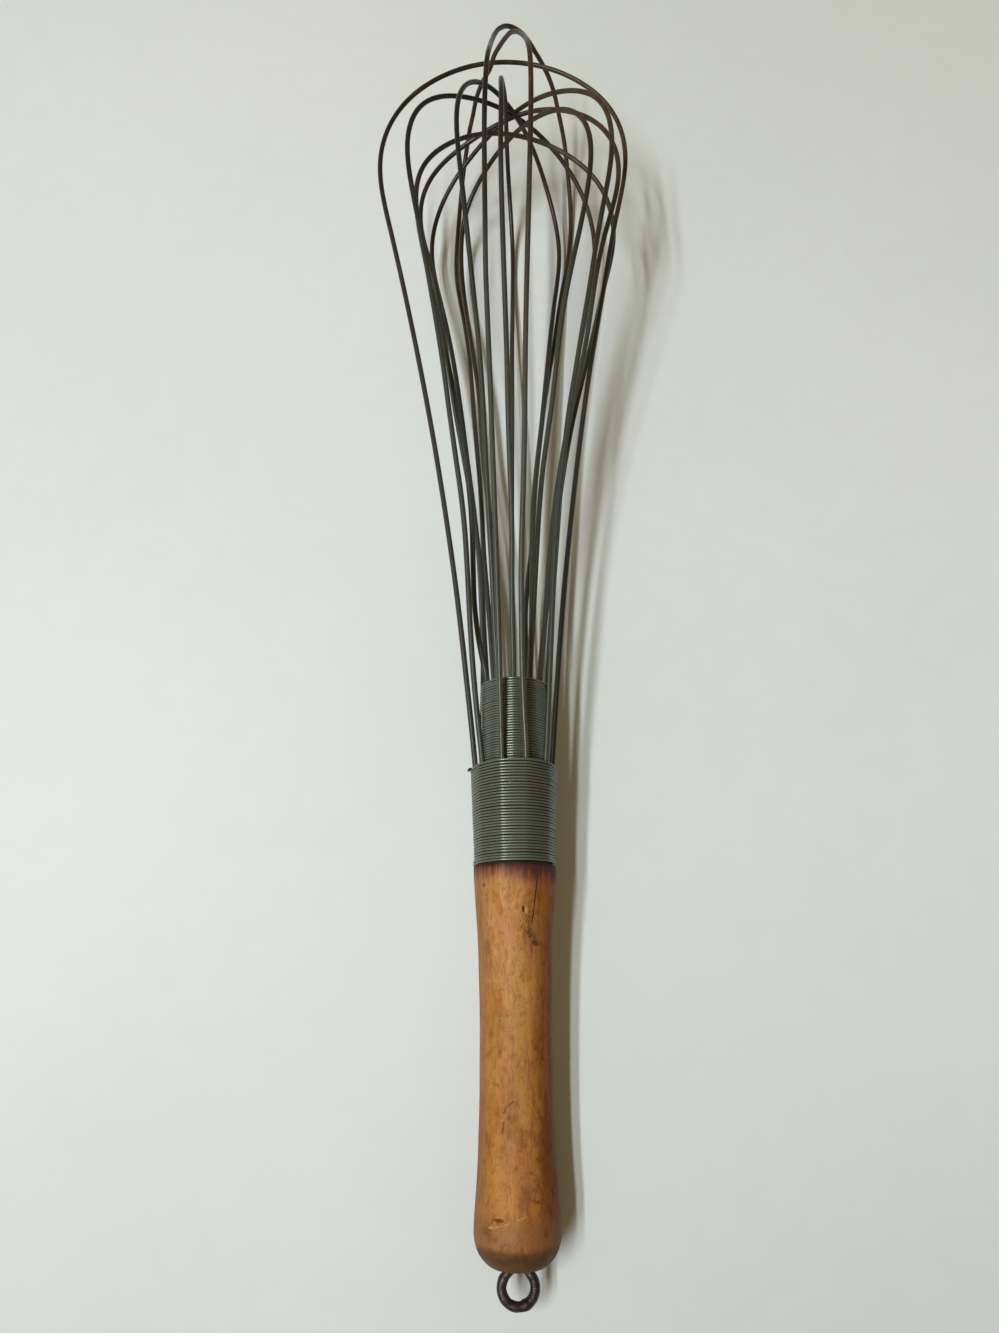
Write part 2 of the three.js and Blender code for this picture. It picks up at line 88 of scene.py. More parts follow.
# ------------------------------------------------------------------ mesh helpers
def frames(P):
    """Tangents and a twist-free pair of normals along a path."""
    T = np.gradient(P, axis=0)
    T /= np.linalg.norm(T, axis=1)[:, None]
    a = np.array([0.0, 0.0, 1.0]) if abs(T[0][2]) < 0.9 else np.array([1.0, 0, 0])
    n = a - T[0] * np.dot(a, T[0])
    n /= np.linalg.norm(n)
    Ns = [n]
    for i in range(1, len(P)):
        n = Ns[-1] - T[i] * np.dot(Ns[-1], T[i])
        n /= np.linalg.norm(n)
        Ns.append(n)
    Ns = np.array(Ns)
    return T, Ns, np.cross(T, Ns)


def mesh_object(name, V, faces, attrs, smooth=True):
    """V in the whisk's frame, mm. Each mesh keeps its own-frame position in the attribute 'own' (metres)."""
    me = bpy.data.meshes.new(name)
    W = place(V)
    me.from_pydata([tuple(p) for p in W], [], faces)
    own = me.attributes.new("own", "FLOAT_VECTOR", "POINT")
    own.data.foreach_set("vector", (np.asarray(V, float) / 1000.0).astype(np.float32).ravel())
    for key, val in attrs.items():
        at = me.attributes.new(key, "FLOAT", "POINT")
        at.data.foreach_set("value", np.asarray(val, np.float32))
    if smooth:
        me.polygons.foreach_set("use_smooth", [True] * len(me.polygons))
    me.update()
    me.validate()
    ob = bpy.data.objects.new(name, me)
    scene.collection.objects.link(ob)
    return ob


def tube(P, radius, sides, closed=False):
    """Verts, faces, per-vertex arc length (mm) and angle (0..1) of a round tube along P. radius is a number or one value for each point, or an array points x sides."""
    P = np.asarray(P, float)
    n = len(P)
    if closed:
        ext = np.vstack([P[-2:-1], P, P[1:2]]) if np.allclose(P[0], P[-1]) else np.vstack([P[-1:], P, P[:1]])
        T, A, Bn = frames(ext)
        T, A, Bn = T[1:-1], A[1:-1], Bn[1:-1]
    else:
        T, A, Bn = frames(P)
    rad = np.asarray(radius, float)
    if rad.ndim == 0:
        rad = np.full((n, sides), float(rad))
    elif rad.ndim == 1:
        rad = np.repeat(rad[:, None], sides, 1)
    ang = np.arange(sides) / sides * 2 * math.pi
    V = (P[:, None, :] + rad[:, :, None] * (np.cos(ang)[None, :, None] * A[:, None, :] + np.sin(ang)[None, :, None] * Bn[:, None, :])).reshape(-1, 3)
    L = np.r_[0, np.cumsum(np.linalg.norm(np.diff(P, axis=0), axis=1))]
    along = np.repeat(L, sides)
    a = np.tile(ang / (2 * math.pi), n)
    F = []
    last = n if closed else n - 1
    for i in range(last):
        j = (i + 1) % n
        for k in range(sides):
            m = (k + 1) % sides
            F.append((i * sides + k, i * sides + m, j * sides + m, j * sides + k))
    if not closed:
        V = list(V)
        for end, base, flip in ((P[0], 0, True), (P[-1], (n - 1) * sides, False)):
            c = len(V)
            V.append(end)
            for k in range(sides):
                m = (k + 1) % sides
                F.append((base + m, base + k, c) if flip else (base + k, base + m, c))
        along = np.r_[along, L[0], L[-1]]
        a = np.r_[a, 0, 0]
        V = np.array(V)
    return V, F, along, a


def smooth_path(points, sub):
    """Centripetal Catmull-Rom curve through the points."""
    P = np.asarray(points, float)
    P = np.vstack([2 * P[0] - P[1], P, 2 * P[-1] - P[-2]])
    out = []
    for i in range(1, len(P) - 2):
        p0, p1, p2, p3 = P[i - 1], P[i], P[i + 1], P[i + 2]
        t0 = 0.0
        t1 = t0 + np.linalg.norm(p1 - p0) ** 0.5
        t2 = t1 + np.linalg.norm(p2 - p1) ** 0.5
        t3 = t2 + np.linalg.norm(p3 - p2) ** 0.5
        for t in np.linspace(t1, t2, sub, endpoint=False):
            a1 = (t1 - t) / (t1 - t0) * p0 + (t - t0) / (t1 - t0) * p1
            a2 = (t2 - t) / (t2 - t1) * p1 + (t - t1) / (t2 - t1) * p2
            a3 = (t3 - t) / (t3 - t2) * p2 + (t - t2) / (t3 - t2) * p3
            b1 = (t2 - t) / (t2 - t0) * a1 + (t - t0) / (t2 - t0) * a2
            b2 = (t3 - t) / (t3 - t1) * a2 + (t - t1) / (t3 - t1) * a3
            out.append((t2 - t) / (t2 - t1) * b1 + (t - t1) / (t2 - t1) * b2)
    out.append(P[-2])
    return np.array(out)


def wobble(n, scale, seed):
    """Smooth random values about zero, with features about `scale` samples long."""
    g = np.random.default_rng(seed)
    m = max(4, int(n / scale) + 3)
    k = g.normal(size=m)
    x = np.linspace(0, m - 1.001, n)
    i = x.astype(int)
    f = x - i
    f = f * f * (3 - 2 * f)
    return k[i] * (1 - f) + k[np.minimum(i + 1, m - 1)] * f


# ------------------------------------------------------------------ node helpers
class Nodes:
    def __init__(self, name):
        self.mat = bpy.data.materials.new(name)
        self.mat.use_nodes = True
        self.t = self.mat.node_tree
        self.bsdf = self.t.nodes["Principled BSDF"]

    def new(self, kind, **kw):
        n = self.t.nodes.new(kind)
        for k, v in kw.items():
            setattr(n, k, v)
        return n

    def link(self, a, b):
        self.t.links.new(a, b)

    def put(self, socket, v):
        if isinstance(v, bpy.types.NodeSocket):
            self.link(v, socket)
        else:
            socket.default_value = v

    def own(self):
        n = self.new("ShaderNodeAttribute", attribute_name="own")
        return n.outputs["Vector"]

    def attr(self, name):
        return self.new("ShaderNodeAttribute", attribute_name=name).outputs["Fac"]

    def xyz(self, v):
        n = self.new("ShaderNodeSeparateXYZ")
        self.link(v, n.inputs[0])
        return n.outputs

    def scale(self, v, s):
        n = self.new("ShaderNodeVectorMath", operation="MULTIPLY")
        self.link(v, n.inputs[0])
        n.inputs[1].default_value = s
        return n.outputs[0]

    def shift(self, v, s):
        n = self.new("ShaderNodeVectorMath", operation="ADD")
        self.link(v, n.inputs[0])
        self.put(n.inputs[1], s)
        return n.outputs[0]

    def noise(self, v, scale=1.0, detail=4.0, rough=0.5, distort=0.0, color=False):
        n = self.new("ShaderNodeTexNoise")
        self.link(v, n.inputs["Vector"])
        n.inputs["Scale"].default_value = scale
        n.inputs["Detail"].default_value = detail
        n.inputs["Roughness"].default_value = rough
        n.inputs["Distortion"].default_value = distort
        return n.outputs["Color"] if color else n.outputs["Fac"]

    def voronoi(self, v, scale=1.0, feature="F1"):
        n = self.new("ShaderNodeTexVoronoi", feature=feature)
        self.link(v, n.inputs["Vector"])
        n.inputs["Scale"].default_value = scale
        return n.outputs["Distance"]

    def math(self, op, a, b=0.0, clamp=False):
        n = self.new("ShaderNodeMath", operation=op, use_clamp=clamp)
        self.put(n.inputs[0], a)
        self.put(n.inputs[1], b)
        return n.outputs[0]

    def ramp(self, v, lo, hi, a=0.0, b=1.0, kind="SMOOTHSTEP"):
        n = self.new("ShaderNodeMapRange", interpolation_type=kind, clamp=True) if kind == "LINEAR" else self.new("ShaderNodeMapRange", interpolation_type=kind)
        self.put(n.inputs["Value"], v)
        n.inputs["From Min"].default_value = lo
        n.inputs["From Max"].default_value = hi
        n.inputs["To Min"].default_value = a
        n.inputs["To Max"].default_value = b
        return n.outputs["Result"]

    def mix(self, fac, a, b, blend="MIX"):
        n = self.new("ShaderNodeMix", data_type="RGBA", blend_type=blend)
        self.put(n.inputs["Factor"], fac)
        self.put(n.inputs[6], a)
        self.put(n.inputs[7], b)
        return n.outputs[2]

    def blob(self, v, centre, radii, soft=0.35, rough=None, amount=0.0):
        """1 inside an ellipsoid (mm, own frame), 0 outside, with a soft edge that `rough` breaks up."""
        s = self.shift(v, tuple(-c / 1000.0 for c in centre))
        s = self.scale(s, tuple(1000.0 / r for r in radii))
        n = self.new("ShaderNodeVectorMath", operation="LENGTH")
        self.link(s, n.inputs[0])
        d = n.outputs["Value"]
        if rough is not None:
            d = self.math("ADD", d, self.ramp(rough, 0.2, 0.8, -amount, amount, "LINEAR"))
        return self.ramp(d, 1.0 - soft, 1.0 + soft, 1.0, 0.0)

    def stroke(self, x, s, a, b, half):
        """1 along the segment a-b of the (across, along) plane, in mm."""
        (ax, as_), (bx, bs_) = a, b
        dx, ds = bx - ax, bs_ - as_
        L = math.hypot(dx, ds)
        ux, us = dx / L, ds / L
        px = self.math("SUBTRACT", x, ax / 1000.0)
        ps = self.math("SUBTRACT", s, as_ / 1000.0)
        t = self.math("ADD", self.math("MULTIPLY", px, ux), self.math("MULTIPLY", ps, us))
        q = self.math("ABSOLUTE", self.math("SUBTRACT", self.math("MULTIPLY", px, us), self.math("MULTIPLY", ps, ux)))
        inside = self.math("MULTIPLY", self.ramp(t, -0.3e-3, 0.8e-3), self.ramp(t, (L - 0.8) / 1000.0, (L + 0.3) / 1000.0, 1.0, 0.0))
        return self.math("MULTIPLY", inside, self.ramp(q, half * 0.4e-3, half * 1.5e-3, 1.0, 0.0))

    def bump(self, h, strength, distance, normal=None):
        n = self.new("ShaderNodeBump")
        n.inputs["Strength"].default_value = strength
        n.inputs["Distance"].default_value = distance
        self.link(h, n.inputs["Height"])
        if normal is not None:
            self.link(normal, n.inputs["Normal"])
        return n.outputs["Normal"]


# ------------------------------------------------------------------ materials
def wood_material():
    m = Nodes("aged_hardwood")
    own = m.own()
    x, s, n = m.xyz(own)
    top = m.ramp(n, 0.0, 4e-3)                                  # marks that are only on the upper side
    warp = m.noise(m.scale(own, (60, 25, 60)), 1.0, 3, 0.5, color=True)
    wv = m.shift(m.scale(own, (1, 1, 1)), m.scale(warp, (0.0030, 0.0030, 0.0030)))
    fibre = m.noise(m.scale(wv, (1500, 45, 1500)), 1.0, 5, 0.6)
    streak = m.noise(m.scale(wv, (330, 18, 330)), 1.0, 4, 0.55, 0.4)
    band = m.noise(m.scale(wv, (120, 34, 120)), 1.0, 5, 0.62, 0.8)
    cloud = m.noise(m.scale(own, (90, 60, 90)), 1.0, 6, 0.65, 0.5)
    mottle = m.noise(m.scale(own, (420, 210, 420)), 1.0, 5, 0.7)
    fleck = m.noise(m.scale(own, (1300, 420, 1300)), 1.0, 3, 0.6)
    smudge = m.noise(m.scale(wv, (300, 95, 300)), 1.0, 6, 0.72, 1.2)
    grain = m.noise(m.scale(own, (820, 430, 820)), 1.0, 5, 0.75, 0.6)
    pores = m.noise(m.scale(own, (2100, 800, 2100)), 1.0, 3, 0.6)
    c = m.mix(m.ramp(band, 0.34, 0.68), lin(206, 150, 88), lin(182, 118, 58))
    # painted sheen: pale pink cloudy patches stand in for the satin reflection on the wood
    c = m.mix(m.math("MULTIPLY", m.ramp(cloud, 0.50, 0.64), 0.62), c, lin(198, 138, 106))
    c = m.mix(m.math("MULTIPLY", m.ramp(streak, 0.50, 0.72), 0.36), c, lin(148, 92, 42))
    c = m.mix(m.math("MULTIPLY", m.ramp(smudge, 0.50, 0.66), 0.50), c, lin(136, 82, 36))
    c = m.mix(m.math("MULTIPLY", m.ramp(smudge, 0.40, 0.26), 0.40), c, lin(222, 168, 106))
    c = m.mix(m.math("MULTIPLY", m.ramp(mottle, 0.54, 0.70), 0.45), c, lin(126, 76, 34))
    # uneven handling stains, heavier toward the lower end
    stains = m.noise(m.scale(own, (165, 120, 165)), 1.0, 6, 0.75, 1.6)
    low = m.ramp(s, -20e-3, -62e-3, 0.46, 0.80)
    blotch = m.noise(m.scale(own, (270, 215, 270)), 1.0, 7, 0.80, 1.0)
    c = m.mix(m.math("MULTIPLY", m.ramp(blotch, 0.53, 0.63), 0.30), c, lin(134, 80, 38))
    c = m.mix(m.math("MULTIPLY", m.ramp(blotch, 0.45, 0.36), 0.26), c, lin(222, 166, 106))
    c = m.mix(m.math("MULTIPLY", m.ramp(stains, 0.52, 0.64), low), c, lin(142, 84, 38))
    c = m.mix(m.math("MULTIPLY", m.ramp(grain, 0.56, 0.70), 0.42), c, lin(112, 64, 28))
    c = m.mix(m.math("MULTIPLY", m.ramp(grain, 0.42, 0.28), 0.30), c, lin(220, 168, 110))
    c = m.mix(m.math("MULTIPLY", m.ramp(fleck, 0.62, 0.72), 0.30), c, lin(84, 48, 22))
    c = m.mix(m.math("MULTIPLY", m.ramp(pores, 0.64, 0.74), 0.26), c, lin(92, 54, 26))
    c = m.mix(m.math("MULTIPLY", m.ramp(fibre, 0.50, 0.75), 0.18), c, lin(110, 68, 32))
    # oiled by use: darker toward the lower end; then painted shade, a deep amber darkening over the +x flank, away from
    # the lamps
    c = m.mix(1.0, c, m.mix(m.ramp(s, 44e-3, -58e-3), (0.90, 0.90, 0.90, 1), (0.72, 0.645, 0.47, 1)), "MULTIPLY")
    # painted shade on the +x flank of the handle
    flank_shade = m.ramp(m.math("ADD", x, m.ramp(streak, 0.3, 0.7, -1.6e-3, 1.6e-3, "LINEAR")), 1.0e-3, 11.8e-3)
    c = m.mix(flank_shade, c, (0.53, 0.38, 0.11, 1), "MULTIPLY")
    # painted shade: the far -x edge of the handle, where it turns away, is muted toward brown
    left = m.ramp(m.math("ADD", x, m.ramp(cloud, 0.3, 0.7, -1.5e-3, 1.5e-3, "LINEAR")), -9.0e-3, -13.0e-3)
    c = m.mix(m.math("MULTIPLY", left, 0.55), c, lin(132, 92, 58))
    # painted shade: the underside of the handle is darkened toward brown
    under_shade = m.ramp(n, 2e-3, -8e-3)
    c = m.mix(m.math("MULTIPLY", under_shade, 0.35), c, lin(120, 78, 40))
    # worn, darker lower end: rosy band, then a brown dome
    rag = m.ramp(cloud, 0.25, 0.75, -4.5e-3, 4.5e-3, "LINEAR")
    sl = m.math("ADD", s, rag)
    c = m.mix(m.math("MULTIPLY", m.ramp(sl, -66e-3, -73e-3), 0.55), c, lin(128, 86, 58))
    rag2 = m.ramp(mottle, 0.25, 0.75, -1.3e-3, 1.3e-3, "LINEAR")
    rag2 = m.math("ADD", m.math("MULTIPLY", rag2, 0.6), m.math("MULTIPLY", rag, 0.25))
    dome = m.ramp(m.math("ADD", s, rag2), -76.4e-3, -79.8e-3)
    c = m.mix(m.math("MULTIPLY", dome, 0.88), c, m.mix(m.ramp(cloud, 0.35, 0.65), lin(86, 58, 26), lin(56, 39, 18)))
    # stain bled from the binding wire, then painted shade along the binding's lower edge
    tongue = m.noise(m.scale(own, (520, 60, 520)), 1.0, 4, 0.6)
    st = m.math("ADD", s, m.ramp(tongue, 0.25, 0.75, -3.0e-3, 2.8e-3, "LINEAR"))
    st = m.math("ADD", st, m.ramp(x, -4e-3, 7e-3, 0.0, 2.6e-3))
    halo = m.ramp(st, 40.5e-3, 49.5e-3)
    c = m.mix(m.math("MULTIPLY", halo, 0.50), c, lin(150, 86, 62))
    stain = m.ramp(st, 44.4e-3, 52.0e-3)
    c = m.mix(m.math("MULTIPLY", stain, 0.92), c, lin(66, 32, 33))
    # painted shade: a dark line where the binding meets the wood
    binding_edge_shade = m.ramp(m.math("ADD", s, m.ramp(tongue, 0.3, 0.7, -0.6e-3, 0.6e-3, "LINEAR")), 49.8e-3, 51.6e-3)
    c = m.mix(m.math("MULTIPLY", binding_edge_shade, 0.85), c, lin(34, 22, 20))
    # bruise, blotches and specks
    sx = m.math("ADD", x, m.ramp(mottle, 0.25, 0.75, -0.9e-3, 0.9e-3, "LINEAR"))
    smear = m.math("MULTIPLY", m.stroke(sx, s, (4.1, 27.6), (7.3, 22.4), 1.25), m.math("MULTIPLY", m.ramp(grain, 0.38, 0.56, 0.25, 1.0), top))
    c = m.mix(m.math("MULTIPLY", smear, 0.66), c, lin(74, 42, 20))
    halo2 = m.blob(own, (5.2, 26.2, 13.1), (3.2, 5.0, 6.0), 0.35, m.noise(m.scale(own, (1000, 800, 1000)), 1.0, 5, 0.8), 1.5)
    c = m.mix(m.math("MULTIPLY", halo2, 0.24), c, lin(92, 54, 26))
    specks = m.blob(own, (4.1, 30.2, 13.6), (2.4, 5.0, 6.0), 0.2, mottle, 0.6)
    c = m.mix(m.math("MULTIPLY", m.math("MULTIPLY", specks, m.ramp(pores, 0.50, 0.58)), 0.62), c, lin(80, 46, 22))
    bl = m.blob(own, (7.2, 22.5, 12.3), (1.2, 1.0, 6.0), 0.5, mottle, 0.6)
    c = m.mix(m.math("MULTIPLY", bl, 0.72), c, lin(58, 34, 16))
    b2 = m.blob(own, (3.1, -61.0, 14.3), (2.0, 4.0, 6.0), 0.6, cloud, 0.5)
    c = m.mix(m.math("MULTIPLY", b2, 0.62), c, lin(112, 66, 44))
    for (cx, cs, rx, rs, k) in ((-11.7, 43.8, 0.5, 0.8, 0.8), (-10.5, 21.0, 1.2, 3.0, 0.35), (-9.0, -8.0, 0.9, 2.2, 0.3), (-4.0, -14.0, 0.6, 0.9, 0.35),
                                (9.5, -73.0, 0.8, 1.6, 0.6), (-11.0, -72.0, 1.4, 1.6, 0.5), (-7.8, -74.6, 0.9, 0.9, 0.4), (5.0, -79.6, 2.2, 1.0, 0.6), (14.2, -57.0, 1.0, 3.2, 0.5),
                                (-3.0, -36.5, 0.5, 0.8, 0.4), (8.2, -30.0, 0.7, 1.4, 0.4), (1.5, 4.0, 0.4, 0.7, 0.3), (-1.0, 12.0, 0.5, 1.0, 0.25)):
        zz = math.sqrt(max(1.0, 14.5 ** 2 - cx ** 2))
        q = m.math("MULTIPLY", m.blob(own, (cx, cs, zz), (rx, rs, 6.0), 0.5, mottle, 0.35), k)
        c = m.mix(q, c, lin(92, 56, 34))
    hole = m.blob(own, (2.8, 34.6, 14.5), (0.42, 1.15, 4.0), 0.25)
    c = m.mix(m.math("MULTIPLY", m.blob(own, (4.0, 34.0, 14.3), (0.7, 1.2, 4.0), 0.5), 0.35), c, lin(226, 172, 116))
    c = m.mix(m.math("MULTIPLY", hole, 0.95), c, lin(40, 24, 12))
    crack_x = m.math("ADD", x, m.ramp(m.noise(m.scale(own, (10, 500, 10)), 1.0, 2, 0.5), 0.3, 0.7, -0.12e-3, 0.12e-3, "LINEAR"))
    crack = m.math("MULTIPLY", m.stroke(crack_x, s, (6.0, 29.5), (8.4, 47.8), 0.21), top)
    c = m.mix(m.math("MULTIPLY", crack, 0.92), c, lin(44, 22, 10))
    scr = m.math("MAXIMUM", m.stroke(x, s, (-1.2, -31.2), (-3.6, -33.0), 0.20), m.stroke(x, s, (-3.6, -33.0), (-4.9, -35.6), 0.18))
    scr = m.math("MAXIMUM", scr, m.stroke(x, s, (-4.6, -37.6), (-5.3, -42.0), 0.22))
    scr = m.math("MULTIPLY", scr, top)
    c = m.mix(m.math("MULTIPLY", scr, 0.70), c, lin(84, 44, 18))
    dent = m.blob(own, (-6.6, -68.7, 13.6), (1.5, 0.55, 5.0), 0.4, mottle, 0.5)
    c = m.mix(m.math("MULTIPLY", dent, 0.85), c, lin(84, 38, 16))
    pale = m.math("MAXIMUM", m.stroke(x, s, (-10.2, -71.2), (-6.5, -70.6), 0.32), m.stroke(x, s, (-6.5, -70.6), (-3.4, -69.6), 0.25))
    pale = m.math("MAXIMUM", pale, m.stroke(x, s, (-0.8, -68.6), (3.0, -67.4), 0.28))
    pale = m.math("MULTIPLY", m.math("MULTIPLY", pale, top), m.ramp(grain, 0.66, 0.50))
    c = m.mix(m.math("MULTIPLY", pale, 0.66), c, lin(216, 160, 104))
    m.link(c, m.bsdf.inputs["Base Color"])
    rgh = m.ramp(m.math("ADD", m.math("MULTIPLY", mottle, 0.5), m.math("MULTIPLY", cloud, 0.5)), 0.35, 0.65, 0.44, 0.68, "LINEAR")
    m.link(rgh, m.bsdf.inputs["Roughness"])
    m.bsdf.inputs["Specular IOR Level"].default_value = 0.18
    h = m.math("ADD", m.math("MULTIPLY", fibre, 0.25), m.math("MULTIPLY", mottle, 0.7))
    h = m.math("ADD", h, m.math("MULTIPLY", grain, 0.45))
    h = m.math("ADD", h, m.math("MULTIPLY", band, 0.8))
    h = m.math("SUBTRACT", h, m.math("MULTIPLY", m.math("MAXIMUM", crack, scr), 1.2))
    h = m.math("SUBTRACT", h, m.math("MULTIPLY", m.math("MAXIMUM", hole, dent), 2.2))
    h = m.math("ADD", h, m.math("MULTIPLY", pale, 0.8))
    m.link(m.bump(h, 0.60, 0.00026), m.bsdf.inputs["Normal"])
    return m.mat


def wire_material(name, low, high, rust, metal=0.8, s_lo=250.0, s_hi=400.0, rusty=0.35):
    """Aged spring wire: grey near the binding, dark brown toward the tip, rust in patches."""
    m = Nodes(name)
    own = m.own()
    x, s, n = m.xyz(own)
    big = m.noise(m.scale(own, (70, 28, 70)), 1.0, 4, 0.6)
    mid = m.noise(m.scale(own, (170, 90, 170)), 1.0, 5, 0.7)
    fine = m.noise(m.scale(own, (900, 220, 900)), 1.0, 4, 0.6)
    grit = m.noise(m.scale(own, (2400, 1000, 2400)), 1.0, 3, 0.6)
    ss = m.math("ADD", s, m.ramp(big, 0.25, 0.75, -40e-3, 40e-3, "LINEAR"))
    f = m.ramp(ss, s_lo / 1000.0, s_hi / 1000.0)
    c = m.mix(f, low, high)
    c = m.mix(m.math("MULTIPLY", m.ramp(fine, 0.45, 0.75), 0.40), c, m.mix(f, lin(30, 32, 28), lin(16, 12, 10)))
    # painted shade: the side that faces away from the lamps (+x and down) is darkened toward black, with some dark
    # oxide
    away_shade = m.ramp(m.math("ADD", m.attr("side"), m.ramp(fine, 0.3, 0.7, -0.12, 0.12, "LINEAR")), -0.05, 0.62)
    # the crown of the cage is rustiest on one side
    crown = m.math("MULTIPLY", m.ramp(s, 340e-3, 395e-3), m.ramp(x, -12e-3, 30e-3))
    patch = m.ramp(mid, 0.50, 0.66)
    r = m.math("MULTIPLY", patch, m.math("ADD", m.ramp(s, 210e-3, 330e-3, 0.15, 1.0), 0.0))
    r = m.math("MULTIPLY", r, rusty)
    r = m.math("MAXIMUM", r, m.math("MULTIPLY", crown, m.ramp(mid, 0.36, 0.56, 0.25, 0.85)))
    c = m.mix(r, c, rust)
    c = m.mix(m.math("MULTIPLY", m.ramp(grit, 0.64, 0.76), 0.24), c, lin(100, 86, 70))
    # painted shade: darkens the side of the wire away from the lamps
    c = m.mix(m.math("MULTIPLY", away_shade, 0.86), c, lin(9, 9, 7))
    m.link(c, m.bsdf.inputs["Base Color"])
    m.link(m.math("SUBTRACT", metal, m.math("MULTIPLY", r, 0.30)), m.bsdf.inputs["Metallic"])
    m.bsdf.inputs["Specular IOR Level"].default_value = 0.45
    m.link(m.math("ADD", m.ramp(fine, 0.3, 0.7, 0.27, 0.37, "LINEAR"), m.math("MULTIPLY", r, 0.20)), m.bsdf.inputs["Roughness"])
    h = m.math("ADD", m.math("MULTIPLY", fine, 0.5), m.math("MULTIPLY", grit, 0.25))
    m.link(m.bump(h, 0.20, 0.00008), m.bsdf.inputs["Normal"])
    return m.mat


def binding_material():
    m = Nodes("tinned_binding_wire")
    own = m.own()
    x, s, n = m.xyz(own)
    turn_id = m.attr("turn")
    big = m.noise(m.scale(own, (110, 110, 110)), 1.0, 5, 0.65)
    mid = m.noise(m.scale(own, (420, 420, 420)), 1.0, 4, 0.65)
    fine = m.noise(m.scale(own, (1800, 1800, 1800)), 1.0, 3, 0.6)
    white = m.new("ShaderNodeTexWhiteNoise", noise_dimensions="1D")
    m.link(turn_id, white.inputs["W"])
    c = m.mix(m.ramp(big, 0.35, 0.65), lin(88, 94, 84), lin(76, 77, 68))
    c = m.mix(m.math("MULTIPLY", m.ramp(big, 0.51, 0.66), 0.62), c, lin(96, 76, 68))
    c = m.mix(m.math("MULTIPLY", m.ramp(mid, 0.42, 0.26), 0.50), c, lin(72, 94, 78))
    c = m.mix(m.math("MULTIPLY", m.ramp(fine, 0.55, 0.75), 0.40), c, lin(62, 60, 50))
    c = m.mix(m.math("MULTIPLY", white.outputs["Value"], 0.50), c, lin(48, 51, 43))
    # painted highlight: the outward crest of each turn is lightened
    crest_highlight = m.ramp(m.attr("inward"), -0.55, -0.95)
    c = m.mix(m.math("MULTIPLY", crest_highlight, 0.50), c, lin(134, 140, 129))
    # painted shade: the +x side, away from the lamps, is darkened to half, and the -x edge a little
    c = m.mix(m.ramp(x, 3e-3, 14e-3), c, (0.50, 0.50, 0.47, 1), "MULTIPLY")
    c = m.mix(m.ramp(x, -8e-3, -15e-3), c, (0.82, 0.84, 0.80, 1), "MULTIPLY")
    # painted shade: the inward faces, in the grooves between turns, are darkened nearly to black
    groove_shade = m.ramp(m.attr("inward"), -0.70, 0.10)
    c = m.mix(m.math("MULTIPLY", groove_shade, 0.92), c, lin(20, 22, 17))
    m.link(c, m.bsdf.inputs["Base Color"])
    m.bsdf.inputs["Metallic"].default_value = 0.45
    m.bsdf.inputs["Specular IOR Level"].default_value = 1.0
    m.link(m.ramp(mid, 0.3, 0.7, 0.30, 0.40, "LINEAR"), m.bsdf.inputs["Roughness"])
    m.link(m.bump(m.math("ADD", fine, m.math("MULTIPLY", mid, 0.6)), 0.22, 0.00008), m.bsdf.inputs["Normal"])
    return m.mat


def iron_material():
    m = Nodes("dark_forged_iron")
    own = m.own()
    big = m.noise(m.scale(own, (260, 260, 260)), 1.0, 4, 0.6)
    mid = m.noise(m.scale(own, (800, 800, 800)), 1.0, 5, 0.65)
    fine = m.noise(m.scale(own, (3200, 3200, 3200)), 1.0, 3, 0.6)
    c = m.mix(m.ramp(big, 0.35, 0.68), lin(46, 36, 36), lin(70, 54, 52))
    c = m.mix(m.math("MULTIPLY", m.ramp(mid, 0.52, 0.72), 0.5), c, lin(30, 22, 22))
    c = m.mix(m.math("MULTIPLY", m.ramp(fine, 0.60, 0.75), 0.35), c, lin(112, 88, 76))
    m.link(c, m.bsdf.inputs["Base Color"])
    m.bsdf.inputs["Metallic"].default_value = 0.55
    m.link(m.ramp(mid, 0.3, 0.7, 0.24, 0.50, "LINEAR"), m.bsdf.inputs["Roughness"])
    m.link(m.bump(m.math("ADD", m.math("MULTIPLY", big, 1.4), m.math("MULTIPLY", mid, 0.9)), 0.7, 0.00035), m.bsdf.inputs["Normal"])
    return m.mat


WOOD = wood_material()
IRON = iron_material()
BIND = binding_material()

# ------------------------------------------------------------------ handle
OUTLINE = [(-86.4, 0.0), (-86.3, 3.0), (-86.15, 5.4), (-85.9, 7.3), (-85.3, 9.1), (-84.2, 10.9), (-82.8, 12.35), (-81.3, 13.5), (-80.2, 14.12), (-79.0, 14.6),
           (-77.3, 15.08), (-75.8, 15.36), (-74.2, 15.45), (-71.0, 15.34), (-67.0, 15.08), (-60.0, 14.62), (-52.9, 14.16), (-44.0, 13.75), (-35.8, 13.46),
           (-24.7, 13.32), (-11.7, 13.3), (3.8, 13.58), (12.0, 13.76), (19.6, 14.02), (28.0, 14.45), (35.9, 14.98), (43.0, 15.5), (48.4, 15.88), (51.0, 15.93), (51.9, 15.8), (52.15, 15.3)]
prof = smooth_path([(s, r, 0) for s, r in OUTLINE], 8)[:, :2]
prof[:, 1] = np.maximum(prof[:, 1], 0)
prof = np.vstack([prof, [(52.2, 9.6), (100.0, 9.5), (117.0, 9.5), (118.0, 8.4), (118.0, 0.0)]])
SIDES = 160
th = np.arange(SIDES) / SIDES * 2 * math.pi
V, F = [], []
rings = []
